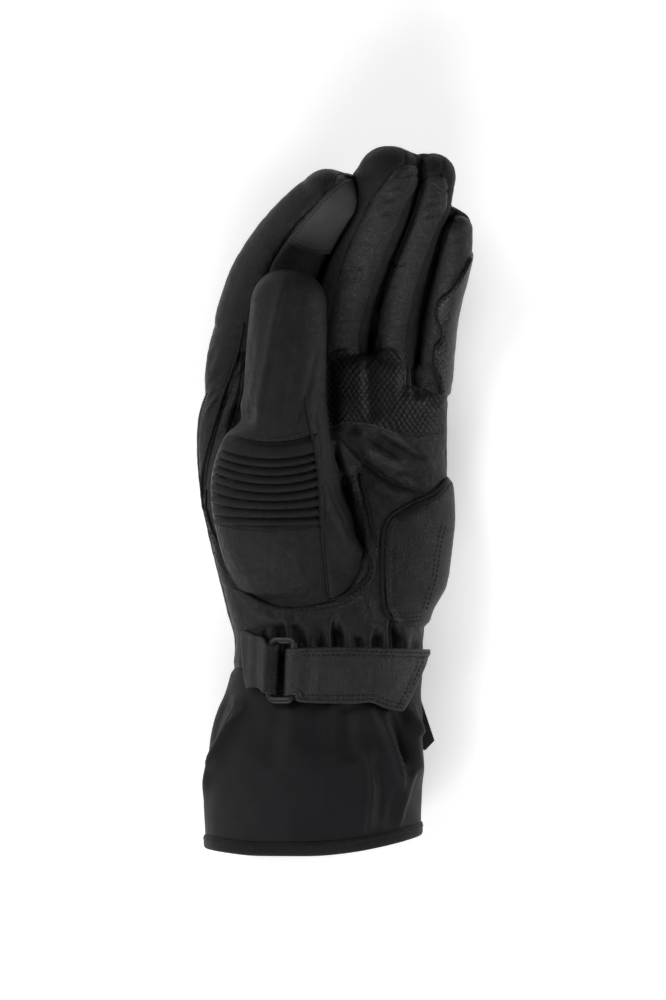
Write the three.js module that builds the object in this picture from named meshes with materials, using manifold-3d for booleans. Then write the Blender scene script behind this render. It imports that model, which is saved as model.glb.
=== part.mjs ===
// A left-hand leather motorcycle glove with a fabric gauntlet cuff, lying on its back with the palm up.
// Millimetres. +X points to the little finger's side, +Y to the fingertips and +Z up, out of the palm.
// Every wall is hollow: the cuff opens into the hand, and the hand into the four fingers and the thumb.
import * as THREE from "three";
import { mergeVertices } from "three/addons/utils/BufferGeometryUtils.js";
import Module from "manifold-3d";

const wasm = await Module();
wasm.setup();

// Driving dimensions
const GAP = 0.32; // clearance between neighbouring pieces
const LEATHER = 2.5; // padded leather wall of the hand, fingers and thumb
const FABRIC = 2.0; // cuff wall
const PATCH = 1.4; // sewn-on leather patches
const HEEL_PAD_THICKNESS = 2.4;
const STRAP = 1.8; // one layer of the wrist strap
const WRIST_Y = 84; // where the cuff's fabric meets the gathered leather
const HEM_Y = 6.5; // upper edge of the hem binding at its lowest point
const RIB_COUNT = 8; // padded ribs across the base of the thumb
const RIB_HEIGHT = 2.2;
const GATHER_PITCH = 8.2; // spacing of the elastic gathers across the wrist
const GATHER_DEPTH = 1.5;
const RING_LENGTH = 30.1; // the strap's flat ring, along Y
const RING_WIDTH = 13.4;
const RING_BAR = 3;
const RING_THICKNESS = 2.2;
const SIDE_SEAM = 0.12; // the hand's side seam, in half heights of its section
const THUMB_SEAM = 0.1;
const THUMB_SIDE_X = -12; // where the thumb's side panel meets its back

// Turns rows of numbers into rows with named columns.
const table = (names, rows) =>
  rows.map((row) => Object.fromEntries(names.map((name, i) => [name, row[i]])));

// Cross-sections of each hollow form. Roll leans the palm side towards +X, in degrees.
const TUBE = ["y", "x", "z", "halfWidth", "halfHeight", "roll"];
const HAND = table(TUBE, [
  [84.4, -2.2, 23.5, 42.5, 23.2, 0],
  [97, -1.8, 23.5, 42.3, 22.6, 0],
  [109, -2.5, 23.0, 44.8, 22.6, 2],
  [120, -0.9, 22.0, 49.1, 22.6, 3],
  [131, -1.2, 21.3, 51.6, 22.4, 3],
  [152, -2.6, 20.6, 55.2, 21.6, 3],
  [174, -4.7, 19.8, 56.2, 20.6, 4],
  [195, -4.7, 19.6, 56.2, 19.6, 6],
  [213, -3.6, 20.2, 54.4, 18.2, 8],
]);
const CUFF = table(TUBE, [
  [HEM_Y, -9, 29.2, 48.8, 30.4, 0],
  [22, -9.3, 29.2, 49.2, 30.6, 0],
  [34, -8.6, 28.9, 49.4, 30.4, 0],
  [45, -8.2, 28.2, 48.6, 29.6, 0],
  [55, -7.4, 26.6, 47.8, 27.4, 0],
  [65, -6.0, 25.5, 46.2, 25.7, 0],
  [73, -4.4, 24.4, 44.2, 24.4, 0],
  [WRIST_Y, -2.4, 23.6, 42.8, 23.4, 0],
]);
const INDEX = table(TUBE, [
  [196, -36, 21, 19.5, 12.5, 12],
  [214, -36.2, 22, 20.6, 13.5, 14],
  [230, -33.4, 24, 20.8, 14.2, 16],
  [246, -30.0, 27.5, 20.2, 14.2, 20],
  [260, -25.0, 33, 18.9, 13.8, 26],
  [274, -17.5, 41.5, 16.8, 13.2, 32],
  [286, -9.5, 50, 14.8, 12.2, 36],
  [295, -2.6, 56, 13.2, 11.4, 38],
]);
const MIDDLE = table(TUBE, [
  [200, 3.6, 20, 11.6, 11.2, 4],
  [216, 3.2, 21.5, 12.6, 11.4, 4],
  [232, 3.4, 24.5, 13.2, 11.6, 4],
  [250, 6.2, 31.5, 13.8, 11.8, 5],
  [270, 12.4, 42, 14.6, 12.2, 6],
  [290, 21.2, 52.5, 14.4, 12.4, 8],
  [303, 25.2, 58.5, 14.8, 11.8, 10],
]);
const RING = table(TUBE, [
  [200, 27.4, 18.5, 10.2, 10.8, 5],
  [216, 27.4, 19.5, 10.4, 11.0, 5],
  [232, 28, 22.5, 10.6, 11.2, 6],
  [250, 30, 29, 10.8, 11.2, 7],
  [270, 35, 38.5, 10.8, 11.2, 8],
  [290, 41.4, 48.5, 10.8, 11.0, 10],
  [303, 44.6, 54, 10.0, 10.2, 12],
]);
const LITTLE = table(TUBE, [
  [199, 41.8, 16.5, 8.0, 9.2, 8],
  [214, 44, 16.8, 8.8, 9.8, 8],
  [230, 46.4, 18.5, 9.4, 10.4, 8],
  [246, 49, 24, 9.6, 10.4, 10],
  [260, 51.4, 31, 9.4, 10.0, 12],
  [272, 53.4, 37.5, 8.9, 9.4, 14],
  [281, 54.2, 41.5, 8.2, 8.6, 16],
]);
const THUMB = table(TUBE, [
  [118, -13, 27, 24, 17, 6],
  [128, -13.5, 31.5, 30, 22, 6],
  [142, -18, 36.5, 32.4, 25, 6],
  [155, -22.5, 42, 31.2, 25, 6],
  [170, -25, 48, 29.6, 23.4, 6],
  [184, -24.6, 53.2, 25, 20.6, 6],
  [204, -22, 59, 18.9, 17, 6],
  [226, -20.8, 62.4, 18, 16.4, 6],
  [246, -19.8, 63.6, 17, 15.8, 6],
]);

// Row positions of the thumb between which its stretch panel lies, and its ribs.
const STRETCH = { from: 3.12, to: 5.45 };
const RIBS = { from: 3.3, to: 5.2 };

// Folds of the cuff: angle round the section at the wrist and at the hem, half width in degrees,
// height in mm, and the Y between which it runs.
const CUFF_FOLDS = table(
  ["top", "hem", "spread", "height", "from", "to"],
  [
    [141, 178, 8, 2.8, 20, 70],
    [157, 196, 10, -3.0, 20, 72],
    [57, 33, 8, 3.0, 14, 70],
    [45, 22, 8, -2.4, 26, 70],
    [33, 6, 8, 2.4, 26, 70],
    [80, 86, 8, -2.6, 36, 70],
    [108, 100, 10, 1.6, 40, 70],
    [62, 63, 8, 1.2, 4, 34],
    [262, 258, 14, 1.4, 20, 80],
    [300, 306, 14, 1.4, 20, 80],
    [228, 222, 12, 1.8, 20, 80],
  ],
);

// Dents and folds of the palm: centre, half length and half width, direction in degrees, height in mm.
const PALM_FOLDS = table(
  ["x", "y", "length", "width", "turn", "height"],
  [
    [22, 178, 34, 22, 0, -3.6],
    [20, 186, 28, 6.5, -32, -3.0],
    [34, 180, 24, 7.5, -28, 3.0],
    [14, 160, 22, 7.0, -78, -2.6],
    [34, 160, 18, 6.0, -25, -1.8],
    [-20, 110, 24, 9, 8, -1.5],
  ],
);

// Outlines seen from above
const FRONTS = {
  index: [
    [5.4, 312], [-3.6, 303.8], [-12.6, 290.3], [-20.3, 276.8], [-27.5, 265.5], [-32, 249.8],
    [-35, 231.8], [-37.4, 205], [0.9, 205], [3.2, 254.3], [16.7, 281], [18, 312],
  ],
  middle: [
    [-3.2, 205], [-2.3, 231.8], [-1.8, 240.3], [0.9, 252.9], [4.5, 266], [8.6, 277.2], [16.2, 292],
    [21.6, 298.8], [26.6, 305.6], [31.1, 309.2], [36, 309.6], [41.9, 306.5], [39.6, 299.7],
    [32.9, 290.3], [25.7, 274.5], [20.7, 261.9], [15.3, 244.4], [12.6, 231.8], [13.5, 205],
  ],
  ring: [
    [19.8, 205], [20.4, 229], [19, 237], [19.8, 248.9], [22.5, 264.2], [27.5, 278.1], [32.9, 290.3],
    [36, 298.4], [41, 303.8], [46.4, 305.1], [51.3, 302.9], [51.8, 292], [49, 284.9], [42.3, 267.8],
    [37.8, 252.9], [34.7, 240.3], [32.9, 229.5], [34.2, 205],
  ],
  little: [
    [49.5, 284.9], [47.2, 278.1], [44.1, 264.2], [40.5, 252.9], [37.4, 240.3], [36.4, 227.2],
    [37, 203], [62, 203], [66, 250], [66, 280], [57, 288],
  ],
};
const THUMB_FRONT = [
  [-1.4, 104], [-1.4, 116.1], [-3.6, 134.1], [-4.3, 158.9], [-5.2, 171.9], [-6.2, 187.2],
  [-7.4, 197.6], [-5, 206], [3, 216], [3, 275], [-75, 275], [-75, 104],
];
const THUMB_HOLE = [[-44, 108], [16, 108], [16, 168], [-8, 186], [-44, 186]];
const GRIP = [
  [-3.6, 221], [-2.7, 225], [5.2, 227.7], [11.2, 225], [13.8, 219.2], [17.1, 221.6], [20.7, 226.8],
  [25.6, 228.1], [30.2, 225], [32.8, 219.2], [33.2, 211.5], [36.9, 211.5], [47, 206.5], [60, 204], [60, 189],
  [49, 189.4], [38.7, 188.1], [25.6, 189.9], [17.1, 193.2], [5.8, 194], [-3.6, 194],
];
const HEEL_PAD = [
  [66, 169], [53.5, 171], [44, 163.4], [32.4, 155.2], [25.6, 150.7], [23.6, 138], [23.4, 114.7],
  [26, 107.5], [30, 103.8], [38, 102.6], [47, 103.6], [66, 108],
];
const TOUCH_PAD = [
  [12.2, 302.8], [9.4, 300.6], [4, 300.6], [-8.5, 292], [-18, 276.3], [-0.9, 271.8], [5.8, 283],
  [10, 293],
];
const STRAP_OUTLINE = [
  [-26, 92.2], [42.2, 92.7], [42.4, 89], [40.5, 83.2], [32.7, 66.8], [29.2, 65.2], [22.5, 66.8],
  [17, 69], [8.5, 68.6], [-14.5, 69.3], [-17.5, 72.8], [-26, 72.8],
];
const TAB_OUTLINE = [
  [-41, 99.9], [-39, 77.4], [-34, 75.2], [-31.5, 72.9], [-20, 72.8], [-20, 94.4], [-30.5, 94.6],
  [-33, 96.8],
];
const LABEL = [[36, 73], [38.6, 73], [45.7, 51.5], [41.4, 47], [36, 50]];

// Patches that follow one tube: row position, and the angles round the section they reach, in degrees.
const ROUND = ["t", "from", "to"];
const GUARD = table(ROUND, [
  [0.62, 62, -44],
  [1.0, 76, -50],
  [1.35, 92, -52],
  [1.7, 97, -54],
  [2.05, 96, -55],
  [2.35, 84, -56],
  [2.7, 90, -56],
  [3.05, 108, -56],
  [3.5, 106, -54],
  [3.9, 84, -50],
  [4.5, 60, -40],
  [5.0, 42, -24],
]);
const BACK_STRIP = table(ROUND, [
  [2.1, 168, 226],
  [2.3, 158, 232],
  [3, 158, 230],
  [4, 160, 228],
  [5, 160, 226],
  [6, 158, 224],
  [7, 150, 220],
]);

// The hem binding's profile: how far below the cuff's edge, and how far out of its wall.
const BINDING = table(["drop", "grow"], [
  [0.35, 0.5], [5.3, 0.5], [6.2, -0.3], [6.2, -1.7], [5.3, -2.5], [0.35, -2.5],
]);

// The line over the wrist that the strap follows at the ring's Y, and how it falls along Y.
const RING_X = -21.5;
const RING_Y = 83.5;
const WRIST_LINE = table(["x", "z"], [
  [-45.2, 24], [-44.4, 31], [-41, 37], [-36, 40.8], [-32, 42.4], [-28, 43.4], [RING_X, 45.02],
  [-15, 46.65], [-10, 47.4], [-4, 47.7], [5, 47.4], [12, 46.6], [20, 45], [27.6, 42.2], [33.6, 38.5],
  [37.8, 33.9], [40.2, 25], [40.5, 18],
]);
const WRIST_SLOPE = -0.165;

const { clamp, degToRad, radToDeg, smoothstep, lerp } = THREE.MathUtils;

// A bell of height 1 at 0 that is near nothing at 2.
const bell = (t) => Math.exp(-1.5 * t * t);

// Value of a column at a row position t, on a smooth curve through the rows.
function columnAt(rows, name, t) {
  const last = rows.length - 1;
  const i = Math.min(Math.floor(t), last - 1);
  const f = t - i;
  const value = (k) => rows[k][name];
  const p1 = value(i);
  const p2 = value(i + 1);
  const p0 = i > 0 ? value(i - 1) : 2 * p1 - p2;
  const p3 = i + 2 <= last ? value(i + 2) : 2 * p2 - p1;
  const cubic = -p0 + 3 * p1 - 3 * p2 + p3;
  const square = 2 * p0 - 5 * p1 + 4 * p2 - p3;
  return 0.5 * (2 * p1 + (p2 - p0) * f + square * f * f + cubic * f ** 3);
}

const centreAt = (rows, t) =>
  new THREE.Vector3(...["x", "y", "z"].map((name) => columnAt(rows, name, t)));

// The frame of a tube at row position t: centre, tangent, the two section directions and half
// sizes. Sections stand across the tube, or across Y where the form is upright.
function frameAt({ rows, upright }, t) {
  const step = 0.02;
  const last = rows.length - 1;
  const before = centreAt(rows, Math.max(t - step, 0));
  const after = centreAt(rows, Math.min(t + step, last));
  const tangent = upright ? new THREE.Vector3(0, 1, 0) : after.sub(before).normalize();
  const side = tangent.clone().cross(new THREE.Vector3(0, 0, 1)).normalize();
  const up = side.clone().cross(tangent);
  const roll = degToRad(columnAt(rows, "roll", t));
  side.applyAxisAngle(tangent, roll);
  up.applyAxisAngle(tangent, roll);
  return {
    centre: centreAt(rows, t),
    tangent,
    side,
    up,
    halfWidth: columnAt(rows, "halfWidth", t),
    halfHeight: columnAt(rows, "halfHeight", t),
    t,
  };
}

// Evenly spaced row positions with a number of steps between rows.
function stations(rows, perRow) {
  const count = Math.round((rows.length - 1) * perRow);
  return Array.from({ length: count + 1 }, (_, i) => (i * (rows.length - 1)) / count);
}

// Frames along a tube, then, where it has a tip, the frames of its rounded end.
function framesOf(form, grow, positions) {
  const frames = positions.map((t) => {
    const frame = frameAt(form, t);
    return { ...frame, halfWidth: frame.halfWidth + grow, halfHeight: frame.halfHeight + grow };
  });
  if (!form.tip) return { frames, end: null };
  const end = frames[frames.length - 1];
  const { length, steps, power } = form.tip;
  for (let i = 1; i <= steps; i++) {
    const turn = (i / (steps + 0.55)) * (Math.PI / 2);
    const advance = Math.sin(turn) ** (2 / power) * (length + grow);
    const scale = Math.cos(turn) ** (2 / power);
    frames.push({
      ...end,
      centre: end.centre.clone().addScaledVector(end.tangent, advance),
      halfWidth: end.halfWidth * scale,
      halfHeight: end.halfHeight * scale,
      t: end.t + i / steps,
    });
  }
  return { frames, end: end.centre.clone().addScaledVector(end.tangent, length + grow) };
}

// Angles round a section: so many over the palm side and so many over the back.
const anglesOf = ({ palm, back }) => [
  ...Array.from({ length: palm }, (_, i) => (Math.PI * i) / palm),
  ...Array.from({ length: back }, (_, i) => Math.PI * (1 + i / back)),
];

// A point of a section at an angle: on a superellipse, moved out by the form's own relief.
function pointAt(form, frame, angle, floor = -Infinity) {
  const c = Math.cos(angle);
  const s = Math.sin(angle);
  const exponent = 2 / form.power;
  const point = frame.centre.clone();
  point.addScaledVector(frame.side, frame.halfWidth * Math.sign(c) * Math.abs(c) ** exponent);
  point.addScaledVector(frame.up, frame.halfHeight * Math.sign(s) * Math.abs(s) ** exponent);
  const out = frame.side.clone().multiplyScalar(c / frame.halfWidth);
  out.addScaledVector(frame.up, s / frame.halfHeight).normalize();
  if (form.relief) point.addScaledVector(out, form.relief(point, angle, frame.t));
  if (form.lift) point.y += form.lift(point);
  point.z = Math.max(point.z, floor);
  return point;
}

const loopOf = (form, frame, sides, floor) =>
  anglesOf(sides).map((angle) => ({
    point: pointAt(form, frame, angle, floor),
    turn: angle / (2 * Math.PI),
  }));

// A solid from points and triangles, turned to face outwards.
function solidOf(points, triangles) {
  const make = (faces) =>
    new wasm.Manifold(
      new wasm.Mesh({
        numProp: 3,
        vertProperties: new Float32Array(points.flatMap((p) => p.toArray())),
        triVerts: new Uint32Array(faces.flat()),
      }),
    );
  const made = make(triangles);
  return made.volume() > 0 ? made : make(triangles.map(([a, b, c]) => [a, c, b]));
}

// A solid from a three.js geometry.
function solidOfGeometry(geometry) {
  const bare = geometry.clone();
  bare.deleteAttribute("normal");
  bare.deleteAttribute("uv");
  const merged = mergeVertices(bare, 2e-3);
  return new wasm.Manifold(
    new wasm.Mesh({
      numProp: 3,
      vertProperties: merged.attributes.position.array,
      triVerts: new Uint32Array(merged.index.array),
    }),
  );
}

// A closed surface through loops of points, whose numbers may differ. Its ends are fans to their own
// middle, or to a tip at the far end, unless the loops go round, when the last one joins the first.
function skin(loops, { endTip, round } = {}) {
  const points = [];
  const triangles = [];
  const rings = loops.map((loop) =>
    loop.map(({ point, turn }) => ({ index: points.push(point) - 1, turn })),
  );
  const stitch = (lower, upper) => {
    let i = 0;
    let j = 0;
    while (i < lower.length || j < upper.length) {
      const a = lower[i % lower.length].index;
      const b = upper[j % upper.length].index;
      const nextA = i + 1 < lower.length ? lower[i + 1].turn : 1;
      const nextB = j + 1 < upper.length ? upper[j + 1].turn : 1;
      if (j >= upper.length || (i < lower.length && nextA <= nextB)) {
        i += 1;
        triangles.push([a, b, lower[i % lower.length].index]);
      } else {
        j += 1;
        triangles.push([a, b, upper[j % upper.length].index]);
      }
    }
  };
  rings.slice(1).forEach((ring, i) => stitch(rings[i], ring));
  if (round) {
    stitch(rings[rings.length - 1], rings[0]);
    return solidOf(points, triangles);
  }
  const fan = (ring, flip, tip) => {
    const middle = new THREE.Vector3();
    ring.forEach(({ index }) => middle.addScaledVector(points[index], 1 / ring.length));
    const apex = points.push(tip ?? middle) - 1;
    ring.forEach(({ index }, i) => {
      const next = ring[(i + 1) % ring.length].index;
      triangles.push(flip ? [apex, index, next] : [apex, next, index]);
    });
  };
  fan(rings[0], true);
  fan(rings[rings.length - 1], false, endTip);
  return solidOf(points, triangles);
}

// A closed plate between two grids of points of the same size.
function plate(top, bottom) {
  const columns = top[0].length;
  const count = top.length * columns;
  const points = [...top.flat(), ...bottom.flat()];
  const triangles = [];
  const quad = (p, q, r, s) => triangles.push([p, q, r], [p, r, s]);
  const at = (row, column) => row * columns + column;
  for (let row = 0; row + 1 < top.length; row++) {
    for (let column = 0; column + 1 < columns; column++) {
      const corners = [
        at(row, column), at(row, column + 1), at(row + 1, column + 1), at(row + 1, column),
      ];
      quad(...corners);
      quad(...corners.map((corner) => corner + count).reverse());
    }
  }
  const rim = [];
  for (let column = 0; column < columns; column++) rim.push(at(0, column));
  for (let row = 1; row < top.length; row++) rim.push(at(row, columns - 1));
  for (let column = columns - 2; column >= 0; column--) rim.push(at(top.length - 1, column));
  for (let row = top.length - 2; row > 0; row--) rim.push(at(row, 0));
  rim.forEach((corner, i) => {
    const next = rim[(i + 1) % rim.length];
    quad(next, corner, corner + count, next + count);
  });
  return solidOf(points, triangles);
}

// Loops of a form, grown by some millimetres. OPEN_REACH carries an inside past an open end.
const OPEN_REACH = 4;
function loopsOf(form, grow, floor, reach = 0) {
  const { frames, end } = framesOf(form, grow, form.positions);
  if (reach) {
    const first = frames[0];
    const centre = first.centre.clone().addScaledVector(first.tangent, -reach);
    frames.unshift({ ...first, centre });
  }
  const sidesAt = (frame) => (form.sidesAt ? form.sidesAt(frame.t) : form.sides);
  const loops = frames.map((frame) => loopOf(form, frame, sidesAt(frame), floor));
  return { loops, end };
}

// The filled form of a tube.
function filled(form, grow = 0, { floor = -Infinity, reach = 0 } = {}) {
  const { loops, end } = loopsOf(form, grow, floor, reach);
  return skin(loops, { endTip: end });
}

// The space over a tube's seam, on its palm side. The seam's height is in half heights of the
// section, and shift moves it by millimetres.
function overSeam(form, height, shift, reach = 7) {
  const frames = stations(form.rows, 1).map((t) => frameAt(form, t));
  const ends = [
    { frame: frames[0], by: -9 },
    { frame: frames[frames.length - 1], by: 1.5 * (form.tip ? form.tip.length : 0) + 3 },
  ].map(({ frame, by }) => ({
    ...frame,
    centre: frame.centre.clone().addScaledVector(frame.tangent, by),
  }));
  const loops = [ends[0], ...frames, ends[1]].map((frame) => {
    const low = height * frame.halfHeight + shift;
    const high = frame.halfHeight * 1.1 + reach;
    const wide = frame.halfWidth + reach;
    const corner = (across, up, turn) => ({
      point: frame.centre.clone()
        .addScaledVector(frame.side, across * wide)
        .addScaledVector(frame.up, up),
      turn,
    });
    return [corner(-1, low, 0), corner(1, low, 0.25), corner(1, high, 0.5), corner(-1, high, 0.75)];
  });
  return skin(loops);
}

// A closed outline of points, smoothed to a number of them if given, and grown by some millimetres.
function outlineOf(corners, smooth, grow) {
  const knots = corners.map(([x, y]) => new THREE.Vector2(x, y));
  const points = smooth
    ? new THREE.SplineCurve([...knots, knots[0]]).getPoints(smooth).slice(0, -1)
    : knots;
  if (THREE.ShapeUtils.isClockWise(points)) points.reverse();
  return points.map((point, i) => {
    const before = points[(i + points.length - 1) % points.length];
    const after = points[(i + 1) % points.length];
    const along = after.clone().sub(before).normalize();
    return new THREE.Vector2(point.x + along.y * grow, point.y - along.x * grow);
  });
}

// An upright prism over an outline.
function prism(corners, low, high, { smooth = 0, grow = 0 } = {}) {
  const shape = new THREE.Shape(outlineOf(corners, smooth, grow));
  const geometry = new THREE.ExtrudeGeometry(shape, { depth: high - low, bevelEnabled: false });
  return solidOfGeometry(geometry).translate([0, 0, low]);
}

// A solid cut across a tube at a row position, with a gap between: the part before and the part beyond.
function cutAcross(solid, form, t) {
  const { centre, tangent } = frameAt(form, t);
  const offset = tangent.dot(centre);
  return {
    before: solid.trimByPlane(tangent.clone().negate().toArray(), GAP / 2 - offset),
    beyond: solid.trimByPlane(tangent.toArray(), offset + GAP / 2),
  };
}

const union = (solids) => wasm.Manifold.union(solids);
const largest = (solid) =>
  solid.decompose().reduce((best, part) => (part.volume() > best.volume() ? part : best));

// Elastic gathers: ripples across the palm side of the wrist that fade out towards the palm.
function gatherRelief(point, angle) {
  const palmSide = smoothstep(Math.sin(angle), 0.1, 0.45);
  const fade = 1 - smoothstep(point.y, 95, 116);
  return palmSide * fade * GATHER_DEPTH * Math.cos((2 * Math.PI * point.x) / GATHER_PITCH);
}

// Dents and folds of the palm leather.
function palmRelief(point, angle) {
  if (Math.sin(angle) < 0.05) return 0;
  return PALM_FOLDS.reduce((sum, fold) => {
    const turn = degToRad(fold.turn);
    const dx = point.x - fold.x;
    const dy = point.y - fold.y;
    const along = (dx * Math.cos(turn) + dy * Math.sin(turn)) / fold.length;
    const across = (dy * Math.cos(turn) - dx * Math.sin(turn)) / fold.width;
    return sum + fold.height * bell(1.2 * Math.hypot(along, across));
  }, 0);
}
const handRelief = (point, angle) => palmRelief(point, angle) + gatherRelief(point, angle);

// Folds of the cuff's fabric.
function cuffRelief(point, angle) {
  const degrees = radToDeg(angle);
  const share = clamp((WRIST_Y - point.y) / (WRIST_Y - HEM_Y), 0, 1);
  const total = CUFF_FOLDS.reduce((sum, fold) => {
    const at = lerp(fold.top, fold.hem, share);
    const apart = Math.abs(((degrees - at + 540) % 360) - 180) / fold.spread;
    const starts = smoothstep(point.y, fold.from, fold.from + 14);
    const ends = 1 - smoothstep(point.y, fold.to - 8, fold.to + 4);
    return sum + fold.height * bell(apart) * starts * ends;
  }, 0);
  return Math.min(total, lerp(4, 0.8, smoothstep(point.y, 58, 68)));
}

// The hem isn't level: it rises towards the little finger's side, and a little at the other.
function hemLift(point) {
  const right = Math.max(point.x + 12, 0) / 52;
  const left = Math.max(-point.x - 34, 0) / 24;
  const fade = 1 - smoothstep(point.y, 10, 60);
  return fade * (8.5 * right ** 1.8 + 2.6 * left ** 1.5);
}

// Padded ribs over the palm side of the thumb's base.
function ribRelief(point, angle, t) {
  const share = (t - RIBS.from) / (RIBS.to - RIBS.from);
  if (share <= 0 || share >= 1) return 0;
  const front = smoothstep(Math.sin(angle), 0, 0.45);
  return front * (RIB_HEIGHT * Math.abs(Math.sin(Math.PI * RIB_COUNT * share)) ** 0.8 - 0.6);
}

// The hollow forms
const hand = {
  rows: HAND,
  upright: true,
  power: 2.35,
  tip: { length: 14, steps: 3, power: 3.4 },
  relief: handRelief,
  positions: [0, 0.7, 1.4, 2, 3, 4, 4.7, 5.3, 5.9, 6.5, 7.2, 8],
  sidesAt: (t) => (t < 1.8 ? { palm: 34, back: 8 } : { palm: 16, back: 8 }),
};
const cuff = {
  rows: CUFF,
  upright: true,
  power: 2.15,
  relief: cuffRelief,
  lift: hemLift,
  sides: { palm: 26, back: 10 },
  positions: [0, 0.9, 1.9, 3, 4, 4.8, 5.6, 7],
};
const finger = (rows, length) => ({
  rows,
  power: 2.15,
  tip: { length, steps: 3, power: 2.15 },
  sides: { palm: 8, back: 5 },
  positions: stations(rows, 0.86),
});
const fingers = {
  index: finger(INDEX, 12.5),
  middle: finger(MIDDLE, 15),
  ring: finger(RING, 11.5),
  little: finger(LITTLE, 8.5),
};
const RIB_STEPS = 2;
const thumb = {
  rows: THUMB,
  power: 2.15,
  tip: { length: 17, steps: 3, power: 2.15 },
  relief: ribRelief,
  sidesAt: (t) => (t > RIBS.from && t < RIBS.to ? { palm: 9, back: 3 } : { palm: 9, back: 5 }),
  positions: [
    0, 1, 2, 3,
    ...Array.from({ length: RIB_COUNT * RIB_STEPS + 1 }, (_, i) =>
      lerp(RIBS.from, RIBS.to, i / (RIB_COUNT * RIB_STEPS))),
    5.7, 6.4, 7.2, 8,
  ],
};

// The insides, with fewer sides than the outsides and less of their relief
const inner = (form, sides, relief = null) => ({
  ...form, relief, sidesAt: null, sides, positions: stations(form.rows, 0.7),
});
const fingerInsides = Object.fromEntries(
  Object.entries(fingers).map(([name, form]) =>
    [name, filled(inner(form, { palm: 5, back: 4 }), -LEATHER)]),
);
const thumbInside = filled(inner(thumb, { palm: 6, back: 4 }), -LEATHER);
const handInside = filled(inner(hand, { palm: 12, back: 7 }, palmRelief), -LEATHER, {
  floor: LEATHER, reach: OPEN_REACH,
});

// The forms with their clearance, which cut the pieces that meet them
const clearOf = (form) => filled(form, GAP, { reach: GAP });
const handClear = filled(hand, GAP, { floor: -GAP, reach: OPEN_REACH });
const fingerClears = Object.fromEntries(
  Object.entries(fingers).map(([name, form]) => [name, clearOf(form)]),
);
const thumbClear = clearOf(thumb);
const cuffClear = clearOf(cuff);

// Materials
const material = (color, roughness, metalness = 0) =>
  () => new THREE.MeshStandardMaterial({ color, roughness, metalness });
const FINISH = {
  leather: material(0x1d1d1e, 0.5),
  backLeather: material(0x171718, 0.55),
  stretch: material(0x151516, 0.75),
  fabric: material(0x131316, 0.9),
  binding: material(0x101011, 0.8),
  rubberGrip: material(0x18181a, 0.7),
  touch: material(0x5b5b5c, 0.6),
  plastic: material(0x0d0d0e, 0.35),
  ribbon: material(0x17171a, 0.85),
};

// The pieces, by name. Each is settled to the vertices it's written with, and is one body.
const glove = new THREE.Group();
glove.name = "motorcycle_glove";
const WELD = 2e-3;
function keep(name, solid, finish) {
  const mesh = largest(solid).simplify(0.06).getMesh();
  const rough = new THREE.BufferGeometry();
  rough.setAttribute("position", new THREE.BufferAttribute(mesh.vertProperties, 3));
  rough.setIndex(new THREE.BufferAttribute(mesh.triVerts, 1));
  const settled = largest(solidOfGeometry(rough)).getMesh();
  const geometry = new THREE.BufferGeometry();
  geometry.setAttribute("position", new THREE.BufferAttribute(settled.vertProperties, 3));
  geometry.setIndex(new THREE.BufferAttribute(settled.triVerts, 1));
  geometry.computeVertexNormals();
  const piece = new THREE.Mesh(geometry, finish());
  piece.name = name;
  glove.add(piece);
}

// The hand is one hollow form, cut at its side seam into the palm and the back.
const handShell = filled(hand, 0, { floor: 0 })
  .subtract(handInside)
  .subtract(union(Object.values(fingerInsides)))
  .subtract(thumbInside.intersect(prism(THUMB_HOLE, 30, 120)));
keep("palm_panel", handShell.intersect(overSeam(hand, SIDE_SEAM, GAP / 2, 12)), FINISH.leather);
keep("back_panel", handShell.subtract(overSeam(hand, SIDE_SEAM, -GAP / 2, 12)), FINISH.backLeather);

// Each finger is a closed sheath: a palm-side panel, and a back that turns over its sides and tip.
const done = [handClear];
for (const [name, form] of Object.entries(fingers)) {
  const shell = filled(form).subtract(fingerInsides[name]).subtract(union(done));
  done.push(fingerClears[name]);
  const front = prism(FRONTS[name], 0, 120).intersect(overSeam(form, 0.15, GAP / 2));
  const frontClear = prism(FRONTS[name], 0, 120, { grow: GAP })
    .intersect(overSeam(form, 0.15, -GAP / 2));
  keep(name + "_finger_front", shell.intersect(front), FINISH.leather);
  keep(name + "_finger_back", shell.subtract(frontClear), FINISH.backLeather);
}

// The thumb stands on the palm. Its palm side is a heel panel, a ribbed stretch panel and a front
// that reaches the tip, and the rest is a side panel towards the palm and a back.
const thumbShell = filled(thumb).subtract(thumbInside).subtract(handClear);
const thumbFront = prism(THUMB_FRONT, 0, 120).intersect(overSeam(thumb, THUMB_SEAM, GAP / 2));
const thumbFrontClear = prism(THUMB_FRONT, 0, 120, { grow: GAP })
  .intersect(overSeam(thumb, THUMB_SEAM, -GAP / 2));
const heel = cutAcross(thumbShell.intersect(thumbFront), thumb, STRETCH.from);
const ribbed = cutAcross(heel.beyond, thumb, STRETCH.to);
const thumbRest = thumbShell.subtract(thumbFrontClear);
keep("thumb_heel_panel", heel.before, FINISH.leather);
keep("thumb_stretch_panel", ribbed.before, FINISH.stretch);
keep("thumb_front", ribbed.beyond, FINISH.leather);
const toBack = thumbRest.trimByPlane([-1, 0, 0], -THUMB_SIDE_X + GAP / 2);
const toPalm = thumbRest.trimByPlane([1, 0, 0], THUMB_SIDE_X + GAP / 2);
keep("thumb_back", toBack, FINISH.backLeather);
keep("thumb_side_panel", toPalm, FINISH.leather);

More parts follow.
